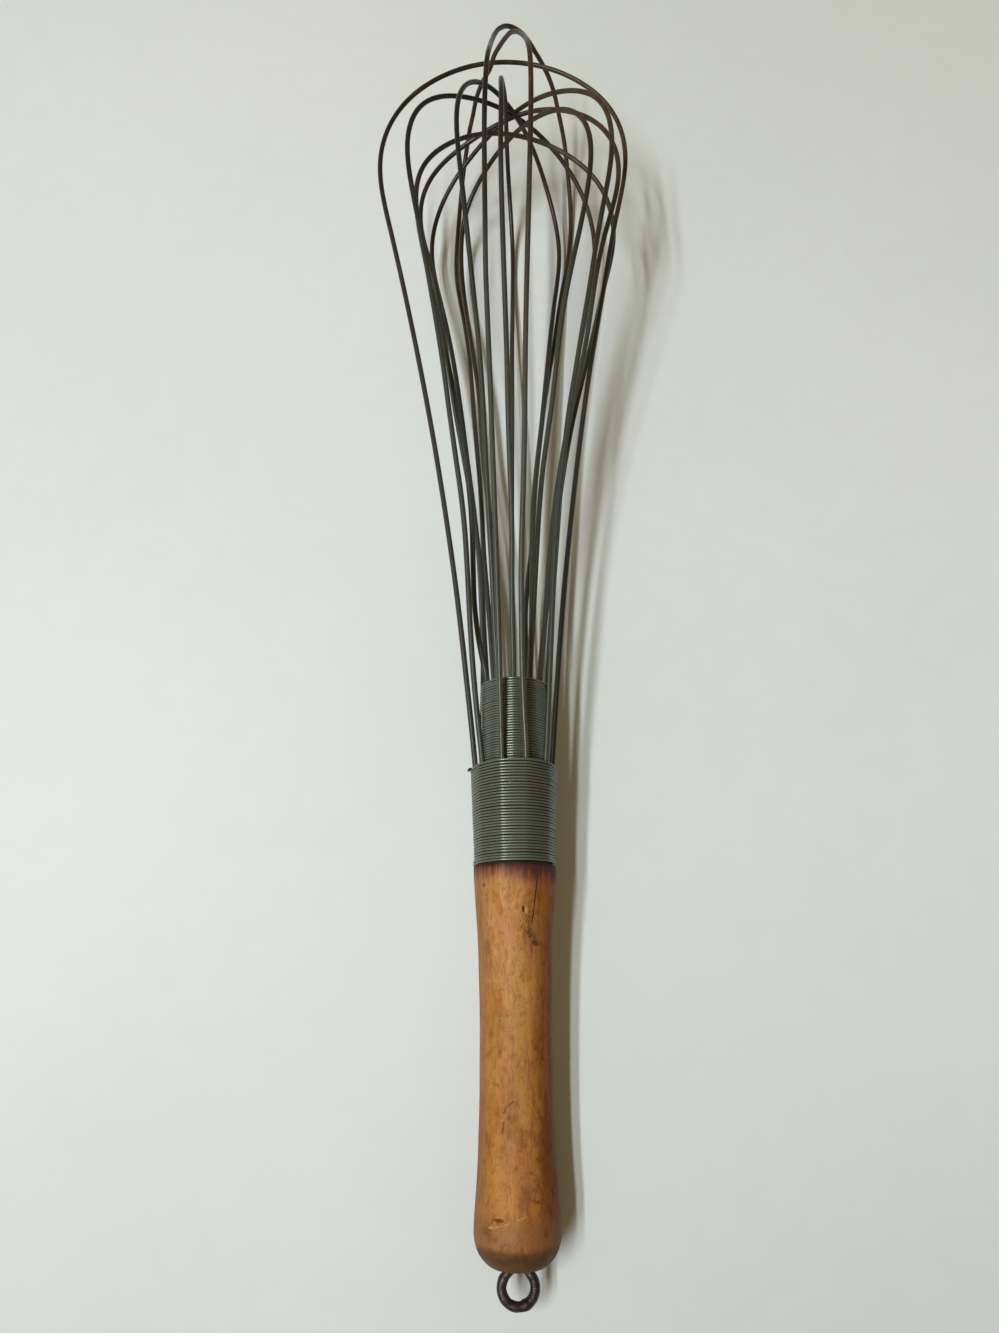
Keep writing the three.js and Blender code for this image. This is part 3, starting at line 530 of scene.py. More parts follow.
for i, (s, r) in enumerate(prof):
    if r < 1e-6:
        rings.append([len(V)])
        V.append((0, s, 0))
        continue
    k = 1.0
    dr = 0.0
    if s < 52:
        dr = (0.07 * np.sin(3 * th + s * 0.05 + 1.0) + 0.05 * np.sin(5 * th - s * 0.11) + 0.04 * np.sin(2 * th + s * 0.23 + 2.0)) * min(1.0, r / 12.0)
        # flats and nicks round the worn lower end
        e = math.exp(-((s + 80.6) / 2.0) ** 2)
        dr = dr + e * (-0.14 * np.maximum(0, np.sin(7 * th + 0.6)) - 0.07 * np.maximum(0, np.sin(11 * th + 2.2)))
    rr = r + dr
    rings.append(list(range(len(V), len(V) + SIDES)))
    for j in range(SIDES):
        q = rr[j] if np.ndim(rr) else rr
        V.append((q * math.sin(th[j]), s, q * math.cos(th[j])))
for a, b in zip(rings[:-1], rings[1:]):
    if len(a) == 1:
        F += [(a[0], b[j], b[(j + 1) % SIDES]) for j in range(SIDES)]
    elif len(b) == 1:
        F += [(a[j], b[0], a[(j + 1) % SIDES]) for j in range(SIDES)]
    else:
        F += [(a[j], b[j], b[(j + 1) % SIDES], a[(j + 1) % SIDES]) for j in range(SIDES)]
handle = mesh_object("handle_wood", np.array(V), F, {})
handle.data.materials.append(WOOD)

# ------------------------------------------------------------------ hanging eye: a rod bent round, both ends driven into the butt
er, ew = 5.8, 1.78
path = [(0.9, -79.0, 0), (-0.2, -82.6, 0.3), (-1.9, -85.4, 0.5)]
for a in np.radians(np.arange(140, 402, 10)):
    path.append((0.1 + er * math.cos(a), -91.75 + er * math.sin(a), 0.5 * math.cos(a) * -0.8))
path += [(3.2, -86.2, -0.4), (1.2, -84.0, -0.3), (0.2, -81.0, 0.0), (0.0, -66.0, 0)]
P = smooth_path(path, 6)
sd = 20
n = len(P)
rad = ew * (1 + 0.035 * wobble(n, 14, 3)[:, None] + 0.02 * np.array([wobble(n, 9, 20 + k // 4) for k in range(sd)]).T)
V, F, al, an = tube(P, rad, sd)
eye = mesh_object("eye_rod", V, F, {"along": al})
eye.data.materials.append(IRON)

# ------------------------------------------------------------------ loops of spring wire
LOOPS = {
    "outer_loop_1": [
        (-13.37, 53.5, 0), (-14.82, 84.27, 0), (-16.09, 99.23, 0.04), (-18.65, 123.52, 0.34), (-21.52, 149.69, 0.71), (-24.31, 172.27, 0.9),
        (-27.61, 195.88, 0.96), (-31.43, 220.92, 1.01), (-35.42, 244.99, 1.11), (-39.82, 269.38, 1.23), (-44.77, 295.08, 1.45), (-49.85, 320.06, 1.6),
        (-55.22, 345.07, 1.62), (-59.29, 363.63, 1.69), (-61.35, 375.29, 1.77), (-62.26, 384.81, 1.83), (-62.21, 393.38, 1.86), (-61.24, 401.44, 1.86),
        (-59.39, 409.13, 1.82), (-56.68, 416.43, 1.76), (-53.16, 423.24, 1.67), (-48.84, 429.53, 1.55), (-43.74, 435.27, 1.41), (-37.91, 440.4, 1.24),
        (-31.5, 444.83, 1.06), (-24.65, 448.43, 0.87), (-17.51, 451.14, 0.67), (-10.16, 452.92, 0.48), (-2.69, 453.75, 0.29), (4.81, 453.64, 0.09),
        (12.22, 452.57, -0.1), (19.44, 450.58, -0.3), (26.39, 447.67, -0.49), (32.91, 443.92, -0.69), (38.85, 439.46, -0.87), (44.01, 434.42, -1.04),
        (48.32, 428.88, -1.19), (51.76, 422.83, -1.33), (54.32, 416.26, -1.44), (56.04, 409.11, -1.53), (56.9, 401.36, -1.58), (56.87, 392.9, -1.58),
        (55.86, 383.33, -1.52), (53.63, 371.12, -1.39), (49.99, 353.91, -1.2), (46.57, 335.25, -1.03), (43.24, 315.92, -0.59), (39.77, 296.59, 0.25),
        (37.12, 281.59, 0.48), (34.48, 265.56, -0.02), (31.76, 247.41, -0.57), (28.92, 226.8, -0.65), (25.71, 201.38, -0.56), (22.76, 175.76, -0.46),
        (20.26, 151.31, -0.4), (18.15, 127.33, -0.29), (16.11, 101.66, -0.07), (14.85, 84.89, -0), (13.37, 53.5, 0)],
    "outer_loop_2": [
        (-10.82, 53.5, 7.86), (-11.88, 80.61, 8.61), (-12.72, 94.22, 9.05), (-14.45, 110.23, 9.67), (-16.12, 128.69, 10.39), (-17.37, 147.46, 11.41),
        (-18.59, 170.78, 12.92), (-19.74, 188.41, 14.13), (-21.32, 203.63, 15.26), (-23.84, 221.89, 16.77), (-26.59, 242.18, 18.72), (-29.3, 262.93, 20.97),
        (-32.27, 282.42, 23.24), (-36.62, 308.47, 26.41), (-40.38, 329.91, 29.12), (-43.48, 346.22, 31.15), (-45.22, 357.18, 32.2), (-46.02, 366.05, 32.62),
        (-46.05, 373.92, 32.53), (-45.36, 381.13, 31.96), (-44, 387.77, 30.93), (-41.99, 393.85, 29.42), (-39.32, 399.39, 27.44), (-35.97, 404.43, 24.94),
        (-31.89, 409.04, 21.89), (-27.05, 413.26, 18.25), (-21.5, 417.05, 14.01), (-15.48, 420.23, 9.36), (-9.47, 422.57, 4.7), (-3.72, 423.94, 0.32),
        (1.81, 424.33, -3.73), (7.21, 423.77, -7.54), (12.56, 422.24, -11.2), (17.85, 419.75, -14.8), (23.02, 416.33, -18.36), (27.86, 412.11, -21.79),
        (32.15, 407.27, -24.92), (35.8, 401.9, -27.66), (38.76, 396.04, -29.98), (41.06, 389.69, -31.87), (42.69, 382.86, -33.32), (43.64, 375.6, -34.31),
        (43.9, 367.88, -34.79), (43.45, 359.5, -34.74), (42.23, 349.9, -34.1), (40.06, 337.56, -32.65), (36.44, 318.26, -29.79), (32.61, 297.33, -26.69),
        (29.48, 279.31, -24.43), (26.84, 262.11, -22.6), (24.61, 244.27, -20.93), (22.5, 223.64, -19.17), (20.04, 195.98, -16.95), (17.33, 165.43, -14.53),
        (15.51, 142.41, -12.69), (14.08, 119.54, -10.88), (12.81, 98.77, -9.4), (11.95, 83.46, -8.69), (10.82, 53.5, -7.86)],
    "outer_loop_3": [
        (-4.13, 53.5, 12.72), (-4.59, 85.22, 14.13), (-5.02, 103.46, 15.55), (-5.57, 129.54, 18.1), (-6.25, 156.13, 21.11), (-7.01, 184.44, 24.71),
        (-7.97, 213.92, 28.59), (-8.86, 243.06, 32.24), (-9.86, 271.11, 36.06), (-10.72, 296.18, 39.56), (-10.98, 321.23, 43.07), (-11.17, 344.38, 46.61),
        (-11.21, 364.01, 50.07), (-10.96, 377.81, 52.29), (-10.59, 387.43, 53.19), (-10.22, 395.04, 52.91), (-9.71, 401.83, 51.32), (-9.17, 408.51, 48.22),
        (-8.76, 416.12, 43.22), (-8.38, 424.74, 37.09), (-7.76, 432.53, 32.15), (-6.71, 439.98, 28.24), (-4.72, 447.13, 24.92), (-1.29, 452.79, 21.64),
        (2.66, 455.85, 17.99), (6.46, 457.67, 13.7), (9.91, 458.33, 8.73), (13.36, 457.96, 2.96), (17.37, 456.92, -3.64), (21.29, 454.73, -10.7),
        (24.3, 451.48, -17.73), (26.44, 447.33, -24.34), (28.47, 442.38, -30.32), (30.17, 436.67, -35.52), (31.27, 430.06, -39.92), (32.22, 422.55, -43.54),
        (32.94, 414.14, -46.36), (33.34, 404.97, -48.33), (33.3, 395.39, -49.4), (32.7, 385.49, -49.52), (31.47, 374.89, -48.67), (29.54, 362.53, -46.68),
        (26.84, 346.55, -43.19), (24.34, 328.98, -39.27), (21.96, 311.17, -35.81), (18.78, 291.68, -32.4), (16.1, 272.15, -29.09), (13.42, 248.76, -25.28),
        (11.44, 229.34, -22.55), (10.08, 211.39, -20.59), (8.94, 194.33, -19.23), (7.14, 178.15, -18.3), (5.86, 164.31, -17.7), (5.75, 150.57, -17.2),
        (6.31, 132.46, -16.56), (6.2, 116.84, -15.98), (5.26, 100.76, -15.16), (4.59, 85, -14.12), (4.13, 53.5, -12.72)],
    "outer_loop_4": [
        (4.13, 53.5, 12.72), (4.48, 80.07, 13.9), (4.51, 95.01, 14.82), (3.86, 111.16, 16.53), (3.36, 130.35, 18.72), (3.26, 155.91, 21.75),
        (3.51, 176.65, 24.34), (4.36, 200.63, 27.6), (5.1, 224.74, 30.97), (5.55, 252.1, 34.73), (6.07, 275.22, 38.18), (6.89, 302.28, 42.68),
        (7.93, 334.68, 48.2), (8.65, 358.02, 52.45), (8.98, 373.57, 55.22), (9.05, 383.47, 56.45), (8.97, 391.22, 56.56), (8.75, 398.09, 55.51),
        (8.39, 404.59, 53.19), (7.99, 411.4, 49.41), (7.65, 419.09, 44.1), (7.06, 426.89, 38.52), (5.87, 433.85, 33.84), (3.85, 440.04, 29.68),
        (1.04, 444.33, 25.41), (-1.47, 446.45, 20.68), (-4.05, 447.86, 15.33), (-6.9, 448.43, 9.17), (-9.16, 447.72, 2), (-13.29, 446.84, -5.88),
        (-16.34, 444.91, -13.67), (-18.18, 441.85, -20.85), (-20.13, 438.16, -27.33), (-21.54, 433.61, -33.16), (-22.87, 428.3, -38.34), (-24, 422.18, -42.85),
        (-24.93, 415.32, -46.6), (-25.74, 407.82, -49.5), (-26.43, 399.77, -51.5), (-27.01, 391.23, -52.57), (-27.43, 382.17, -52.66), (-27.5, 372.5, -51.83),
        (-26.91, 361.93, -50.18), (-25.31, 348.79, -47.51), (-22.49, 329.7, -43.43), (-20.39, 312.53, -39.96), (-18.91, 294.52, -36.48), (-17.53, 272.82, -32.58),
        (-15.89, 251.5, -29.1), (-14.21, 230.27, -25.97), (-13.17, 211.33, -23.5), (-12.33, 192.42, -21.41), (-10.86, 173.18, -19.44), (-9.42, 154.03, -17.79),
        (-8.14, 134.24, -16.66), (-6.52, 114.52, -15.84), (-5.14, 98.56, -15), (-4.58, 84.12, -14.08), (-4.13, 53.5, -12.72)],
    "outer_loop_5": [
        (10.82, 53.5, 7.86), (12, 84.48, 8.71), (12.97, 100.61, 9.44), (14.39, 125.08, 10.75), (16.1, 156.72, 12.52), (17.5, 179.96, 13.96),
        (18.98, 197.66, 15.22), (21.03, 215.12, 16.71), (23.71, 234.4, 18.7), (26.63, 253.82, 21.13), (29.95, 273.4, 23.97), (33.99, 296.1, 27.57),
        (37.56, 317.81, 30.98), (40.74, 335.03, 33.56), (43.39, 348.6, 35.29), (44.93, 358.99, 36.15), (45.57, 367.94, 36.39), (45.43, 376.02, 36.11),
        (44.56, 383.37, 35.31), (43, 390.03, 34), (40.74, 396.06, 32.16), (37.76, 401.55, 29.75), (34.02, 406.6, 26.67), (29.46, 411.36, 22.79),
        (24.18, 415.87, 17.94), (18.48, 420.04, 12.16), (13.02, 423.44, 6.09), (8.18, 425.68, 0.54), (3.75, 426.78, -4.34), (-0.65, 426.77, -8.74),
        (-5.25, 425.61, -12.85), (-10.27, 423.25, -16.93), (-15.95, 419.62, -21.34), (-21.8, 414.99, -25.94), (-26.86, 409.98, -30.02), (-30.96, 404.72, -33.4),
        (-34.24, 399.11, -36.13), (-36.74, 393.08, -38.28), (-38.51, 386.6, -39.88), (-39.52, 379.71, -40.94), (-39.73, 372.32, -41.46), (-39.11, 364.19, -41.4),
        (-37.58, 354.6, -40.7), (-34.96, 341.84, -39.09), (-31.6, 324.91, -36.43), (-28.44, 306.54, -33.44), (-25.71, 288.04, -30.72), (-23.11, 267.68, -28.08),
        (-20.36, 243.81, -25.34), (-17.31, 218.23, -22.64), (-15.27, 199.14, -20.64), (-14.02, 182.17, -19.01), (-13.14, 163.08, -17.43), (-12.59, 145.13, -15.64),
        (-12.47, 127.95, -13.48), (-12.68, 109.89, -10.96), (-12.5, 96.69, -9.43), (-11.95, 83.5, -8.69), (-10.82, 53.5, -7.86)],
    "inner_loop_1": [
        (0, 53.5, 11.05), (-0, 94.24, 11.05), (-0.02, 120.14, 11.03), (-0.07, 131.48, 11.53), (-0.32, 146.46, 12.95), (-0.41, 164.19, 14.82),
        (-0.28, 182.98, 17.08), (-0.49, 199.82, 19.25), (-1.04, 217.91, 21.81), (-1.51, 236.86, 24.83), (-1.87, 257.99, 28.47), (-2.35, 276.88, 31.98),
        (-2.93, 296.18, 35.94), (-3.53, 318.31, 40.82), (-4, 339.29, 45.53), (-4.15, 351.63, 47.97), (-4.08, 361.18, 49.34), (-3.95, 369.17, 49.87),
        (-3.85, 376.2, 49.61), (-3.83, 382.58, 48.58), (-3.84, 388.46, 46.83), (-3.85, 393.91, 44.34), (-3.83, 398.91, 41.11), (-3.72, 403.47, 37.18),
        (-3.49, 407.53, 32.61), (-3.1, 411.02, 27.48), (-2.59, 413.85, 21.89), (-2.06, 415.97, 15.86), (-1.63, 417.38, 9.4), (-1.34, 418.06, 2.62),
        (-1.14, 418.02, -4.12), (-0.95, 417.25, -10.48), (-0.72, 415.72, -16.38), (-0.43, 413.38, -21.89), (-0.09, 410.28, -27.04), (0.32, 406.47, -31.84),
        (0.76, 402, -36.14), (1.2, 396.98, -39.84), (1.6, 391.45, -42.91), (1.94, 385.54, -45.27), (2.17, 379.32, -46.89), (2.29, 372.79, -47.74),
        (2.27, 365.77, -47.79), (2.16, 357.82, -47), (1.98, 347.81, -45.22), (1.7, 332.3, -41.8), (1.33, 312.29, -37.51), (1.09, 290.86, -33.22),
        (0.89, 269.53, -29.2), (0.67, 249.98, -25.84), (0.43, 229.08, -22.61), (0.2, 206.98, -19.49), (0.04, 186.61, -16.88), (0.01, 167.15, -14.73),
        (0.04, 144.59, -12.58), (0.01, 129.39, -11.17), (0, 117.88, -10.92), (0, 90.64, -11.04), (0, 53.5, -11.05)],
    "inner_loop_2": [
        (-6.5, 53.5, 8.94), (-6.5, 94.15, 8.94), (-6.54, 120.26, 8.93), (-6.84, 131.91, 9.38), (-7.54, 147.73, 10.78), (-8.44, 168.62, 12.91),
        (-9.66, 192.65, 15.67), (-10.97, 218.18, 18.74), (-11.97, 240.82, 21.56), (-13, 258.53, 23.92), (-14.44, 276.01, 26.49), (-16.19, 294.21, 29.51),
        (-18.11, 313.21, 33.08), (-20.05, 332.58, 36.93), (-21.49, 346.18, 39.27), (-22.62, 357.11, 40.6), (-23.37, 366.51, 41.14), (-23.69, 374.92, 40.99),
        (-23.59, 382.55, 40.23), (-23.05, 389.48, 38.91), (-22.07, 395.74, 37.05), (-20.64, 401.39, 34.66), (-18.78, 406.44, 31.75), (-16.53, 410.87, 28.37),
        (-13.99, 414.57, 24.63), (-11.24, 417.43, 20.68), (-8.31, 419.42, 16.57), (-5.11, 420.47, 12.23), (-1.58, 420.54, 7.51), (2.32, 419.74, 2),
        (6.5, 418.41, -4.8), (10.1, 416.83, -11.7), (12.96, 414.85, -17.68), (15.36, 412.29, -22.79), (17.5, 409.04, -27.24), (19.46, 405.1, -31.11),
        (21.29, 400.46, -34.42), (22.96, 395.19, -37.15), (24.38, 389.39, -39.25), (25.44, 383.16, -40.69), (26.06, 376.56, -41.46), (26.16, 369.47, -41.58),
        (25.7, 361.51, -41.03), (24.63, 351.66, -39.66), (22.77, 337.09, -36.99), (20.45, 317.14, -33.06), (18.4, 297.42, -29.38), (16.37, 277.02, -25.92),
        (14.22, 256.6, -22.77), (11.97, 236.68, -19.98), (10.44, 220.81, -17.97), (9.51, 205.74, -16.25), (8.96, 188.21, -14.44), (8.55, 167.28, -12.47),
        (7.89, 149.46, -10.88), (6.94, 133.19, -9.5), (6.5, 121.78, -8.94), (6.5, 98.32, -8.94), (6.5, 53.5, -8.94)],
    "inner_loop_3": [
        (6.5, 53.5, 8.94), (6.51, 95.03, 8.94), (6.57, 121.28, 8.93), (7.06, 133.52, 9.43), (8.35, 152.89, 10.49), (9.78, 175.8, 11.91),
        (11.25, 197.31, 13.51), (12.76, 213.44, 14.84), (14.89, 229.07, 16.3), (17.31, 245.22, 18.14), (19.15, 260.61, 20.34), (20.95, 276.07, 22.97),
        (23.16, 290.2, 25.69), (26.24, 305.62, 28.87), (30.56, 324.77, 32.9), (33.41, 338.87, 35.78), (34.98, 349.14, 37.56), (35.69, 357.47, 38.48),
        (35.73, 364.73, 38.65), (35.12, 371.36, 38.08), (33.9, 377.56, 36.77), (32.09, 383.41, 34.74), (29.71, 388.89, 31.97), (26.79, 393.93, 28.48),
        (23.34, 398.49, 24.25), (19.41, 402.53, 19.31), (15.1, 405.94, 13.77), (10.6, 408.56, 7.86), (6.14, 410.27, 1.89), (1.84, 411.01, -3.91),
        (-2.28, 410.78, -9.44), (-6.26, 409.6, -14.67), (-10.11, 407.48, -19.56), (-13.77, 404.48, -24.08), (-17.07, 400.69, -28.18), (-19.84, 396.25, -31.79),
        (-21.97, 391.2, -34.91), (-23.43, 385.53, -37.54), (-24.25, 379.2, -39.65), (-24.53, 372.2, -41.18), (-24.37, 364.58, -42), (-23.85, 356.29, -41.97),
        (-23, 346.91, -41.03), (-21.67, 334.99, -38.93), (-19.46, 316.8, -35.05), (-17.29, 299.86, -31.67), (-15.47, 284.55, -29.16), (-14.25, 269.59, -27.02),
        (-13.31, 251.04, -24.58), (-12.07, 234.17, -22.39), (-9.94, 214.07, -19.77), (-7.84, 194.61, -17.24), (-6.83, 180.17, -15.37), (-6.54, 165.72, -13.47),
        (-6.79, 148.84, -11.29), (-6.77, 134.7, -9.71), (-6.49, 123.41, -8.95), (-6.49, 100.79, -8.94), (-6.5, 53.5, -8.94)],
    "inner_loop_4": [
        (-10.51, 53.5, 3.41), (-10.52, 93.55, 3.41), (-10.63, 119.1, 3.41), (-11.06, 128.09, 3.47), (-12.77, 136.62, 3.87), (-14.68, 147.87, 4.76),
        (-15.82, 159.01, 5.91), (-16.29, 172.67, 7.41), (-16.71, 188.94, 9.04), (-17.63, 203.48, 10.23), (-19.16, 217.97, 11.16), (-21.52, 234.32, 11.95),
        (-24.97, 254.57, 12.75), (-29.11, 276.56, 13.6), (-33.86, 299.85, 14.65), (-38.51, 322.24, 15.83), (-41.28, 337.31, 16.6), (-42.7, 348, 16.97),
        (-43.14, 356.46, 16.99), (-42.72, 363.71, 16.7), (-41.45, 370.21, 16.12), (-39.32, 376.15, 15.34), (-36.31, 381.59, 14.42), (-32.41, 386.54, 13.44),
        (-27.67, 390.97, 12.4), (-22.22, 394.76, 11.3), (-16.25, 397.77, 10.12), (-9.91, 399.88, 8.87), (-3.33, 401.07, 7.56), (3.41, 401.31, 6.23),
        (10.22, 400.58, 4.92), (16.99, 398.9, 3.66), (23.55, 396.31, 2.48), (29.65, 392.92, 1.38), (35.05, 388.9, 0.37), (39.61, 384.31, -0.57),
        (43.33, 379.15, -1.45), (46.22, 373.41, -2.27), (48.29, 367.09, -3.01), (49.52, 360.29, -3.63), (49.86, 353.02, -4.07), (49.26, 345.09, -4.3),
        (47.59, 335.73, -4.26), (44.54, 322.82, -3.78), (40.67, 305.41, -2.92), (36.91, 288.62, -2.22), (33.1, 272.57, -0.97), (29.17, 255.62, 0.46),
        (25.93, 240.17, 1.25), (23.08, 224.42, 1.67), (20.48, 207.66, 1.68), (17.98, 189.11, 1.28), (15.88, 172.46, 0.55), (14.17, 158.53, -0.71),
        (12.45, 144.37, -2.47), (11.23, 133.41, -3.29), (10.51, 123.24, -3.41), (10.51, 100.37, -3.41), (10.51, 53.5, -3.41)],
    "inner_loop_5": [
        (10.51, 53.5, 3.41), (10.52, 97.34, 3.41), (10.56, 121.64, 3.41), (11.39, 132.8, 3.44), (12.86, 146.82, 3.15), (14.27, 163.33, 2.98),
        (15.84, 181.26, 3.48), (17.8, 199.27, 3.86), (20.24, 216.69, 4.08), (22.99, 232.64, 4.56), (26.32, 248.95, 5.56), (30.75, 268.4, 7.1),
        (33.98, 284.45, 8.48), (36.99, 303.38, 10.13), (39.89, 320.6, 11.6), (42.94, 334.67, 12.74), (46.78, 348.89, 13.82), (49.51, 359.88, 14.47),
        (50.8, 368.49, 14.77), (51, 376.21, 14.82), (50.19, 383.42, 14.63), (48.45, 390.19, 14.17), (45.81, 396.44, 13.41), (42.28, 402.15, 12.31),
        (37.86, 407.34, 10.85), (32.61, 411.98, 9.02), (26.75, 415.9, 6.88), (20.61, 418.88, 4.57), (14.26, 420.82, 2.14), (7.58, 421.68, -0.52),
        (0.35, 421.54, -3.69), (-7.38, 420.55, -7.52), (-14.72, 418.82, -11.29), (-21.29, 416.38, -14.36), (-27.17, 413.22, -16.75), (-32.35, 409.38, -18.64),
        (-36.69, 404.94, -20.16), (-40.09, 399.93, -21.41), (-42.51, 394.35, -22.43), (-43.99, 388.18, -23.21), (-44.52, 381.36, -23.73), (-44.07, 373.73, -23.93),
        (-42.52, 364.72, -23.73), (-39.62, 352.67, -22.96), (-36.35, 338.48, -21.69), (-33.74, 323.67, -20.28), (-31.3, 305.82, -18.75), (-28.57, 283.84, -17.21),
        (-25.57, 262.97, -15.87), (-21.47, 238.02, -14.33), (-17.77, 215.22, -12.85), (-15.39, 197.88, -11.52), (-13.8, 182.49, -9.98), (-12.74, 166.42, -7.92),
        (-11.98, 149.02, -5.44), (-11.21, 135.45, -4), (-10.52, 124.01, -3.42), (-10.51, 102.31, -3.42), (-10.51, 53.5, -3.41)],
}
WIRE_R = 1.15
OUT_LOW = lin(67, 71, 64)
LOOKS = {
    "outer_loop_1": (lin(67, 66, 62), lin(44, 37, 30), lin(81, 55, 35), 0.45),
    "outer_loop_2": (OUT_LOW, lin(34, 31, 24), lin(71, 49, 33), 0.30),
    "outer_loop_3": (lin(77, 78, 72), lin(37, 31, 26), lin(73, 47, 33), 0.40),
    "outer_loop_4": (lin(79, 78, 72), lin(48, 33, 26), lin(81, 47, 35), 0.85),
    "outer_loop_5": (OUT_LOW, lin(47, 40, 28), lin(81, 59, 37), 0.40),
    "inner_loop_1": (lin(76, 78, 71), lin(42, 39, 33), lin(73, 53, 38), 0.30),
    "inner_loop_2": (lin(71, 74, 65), lin(32, 29, 23), lin(67, 46, 33), 0.28),
    "inner_loop_3": (lin(71, 72, 63), lin(41, 36, 28), lin(76, 52, 35), 0.35),
    "inner_loop_4": (lin(67, 71, 63), lin(48, 42, 34), lin(71, 55, 38), 0.35),
    "inner_loop_5": (lin(69, 72, 63), lin(42, 37, 29), lin(75, 53, 37), 0.35),
}
pieces = []
for i, (name, pts) in enumerate(LOOPS.items()):
    P = smooth_path(pts, 9)
    n = len(P)
    rad = WIRE_R * (1 + 0.012 * wobble(n, 12, 40 + i))
    V, F, al, an = tube(P, rad, 14)
    # side: how far each vertex faces away from the lamps (+x and down); the wire material paints shade there
    out = np.zeros((len(V), 3))
    out[:n * 14] = (V[:n * 14] - np.repeat(P, 14, 0)) / WIRE_R
    ob = mesh_object(name.replace("loop", "wire"), V, F, {"along": al / 1000.0, "side": 0.80 * out[:, 0] - 0.50 * out[:, 2]})
    low, high, rust, amount = LOOKS[name]
    ob.data.materials.append(wire_material("spring_wire_%d" % (i + 1), low, high, rust, 0.22, 240.0, 390.0, amount))
    pieces.append((ob, name))



# ------------------------------------------------------------------ bindings: one wire wound close over the legs
BW = 1.07


def hull_radius(az, legs, leg_r, reach):
    """Distance from the axis to a taut wire wound over a ring of round legs, at azimuth az (rad)."""
    step = 2 * math.pi / legs
    d = (az + step / 2) % step - step / 2           # angle from the nearest leg
    m = step / 2 - np.abs(d)                        # angle from the middle of the nearest span
    flat = (leg_r * math.cos(step / 2) + reach) / np.cos(m)
    ad = np.abs(d)
    arc = leg_r * np.cos(ad) + np.sqrt(np.maximum(reach ** 2 - (leg_r * np.sin(ad)) ** 2, 0))
    return np.where(np.abs(m) < np.arctan2(leg_r * math.sin(step / 2), leg_r * math.cos(step / 2) + reach), flat, arc)


def winding(name, s0, s1, nturn, first_az, leg_az0, legr0, legr1, seed, tail_low=None, tail_high=None, bulge=None, facet=0.5, rise=0.0, per=120, sides=12):
    pitch = (s1 - s0 - BW) / nturn
    k = np.arange(int(nturn * per) + 1)
    ph = k / per                                    # turns so far
    az = first_az + 2 * math.pi * ph
    f = ph / nturn
    def per_turn(scale, seed2):
        g = np.random.default_rng(seed2).normal(size=int(nturn) + 4) * scale
        i = ph.astype(int)
        t = ph - i
        t = t * t * (3 - 2 * t)
        return g[i] * (1 - t) + g[i + 1] * t
    legr = legr0 + (legr1 - legr0) * f
    rad = hull_radius(az - leg_az0, 10, legr, WIRE_R + BW / 2)
    top = legr + WIRE_R + BW / 2
    rad = top + (rad - top) * facet
    rad = rad + per_turn(0.035, seed + 1) + 0.02 * wobble(len(k), 25, seed + 2)
    if bulge is not None:
        rad = rad + bulge(ph, nturn)
    s = s0 + BW / 2 + pitch * ph + per_turn(0.035, seed + 3)
    s = s + rise * np.cos(az) * np.clip((f - 0.45) / 0.55, 0, 1)
    P = np.stack([rad * np.sin(az), s, rad * np.cos(az)], 1)
    if tail_low is not None:
        P = np.vstack([tail_low(P), P])
        ph = np.r_[np.zeros(len(P) - len(ph)), ph]
    if tail_high is not None:
        P2 = np.vstack([P, tail_high(P)])
        ph = np.r_[ph, np.full(len(P2) - len(P), nturn)]
        P = P2
    V, F, al, an = tube(P, BW / 2 * 1.01, sides)
    n = len(P)
    # how far each vertex faces inward, toward the axis, which is where the grooves are
    C = np.repeat(P, sides, 0)
    out = C[:, [0, 2]] / np.linalg.norm(C[:, [0, 2]], axis=1)[:, None]
    rel = (V[: n * sides] - C)[:, [0, 2]]
    inward = -(rel * out).sum(1) / (BW / 2)
    inward = np.r_[inward, 0, 0]
    tid = np.r_[np.repeat(np.floor(ph), sides), 0, nturn]
    return mesh_object(name, V, F, {"inward": inward, "turn": tid})


def outer_bulge(ph, nt):
    # the first two turns ride a little proud, and the last one a little
    return 0.42 / (1 + np.exp((ph - 1.9) * 6)) + 0.12 / (1 + np.exp((nt - 1.2 - ph) * 6))


def low_tail(P):
    # loose end at the foot of the binding, lifted off the last turn
    p = P[0]
    d = P[0] - P[3]
    d /= np.linalg.norm(d)
    out = np.array([p[0], 0, p[2]])
    out /= np.linalg.norm(out)
    return np.array([p + d * 2.4 + out * 0.25, p + d * 1.6 + out * 0.22, p + d * 0.8 + out * 0.1])


def high_tail(P):
    p = P[-1]
    d = P[-1] - P[-4]
    d /= np.linalg.norm(d)
    out = np.array([p[0], 0, p[2]])
    out /= np.linalg.norm(out)
    return np.array([p + d * 0.6 + out * 0.10, p + d * 1.1 + out * 0.45 - np.array([0, 0.2, 0]), p + d * 1.2 + out * 0.85 - np.array([0, 0.7, 0]), p + d * 1.1 + out * 0.80 - np.array([0, 1.2, 0])])


outer = winding("outer_binding_wire", 51.35, 90.7, 35.55, math.radians(72), math.radians(18), 13.42, 15.08, 11, tail_low=low_tail, tail_high=high_tail, bulge=outer_bulge, rise=1.3)
outer.data.materials.append(BIND)


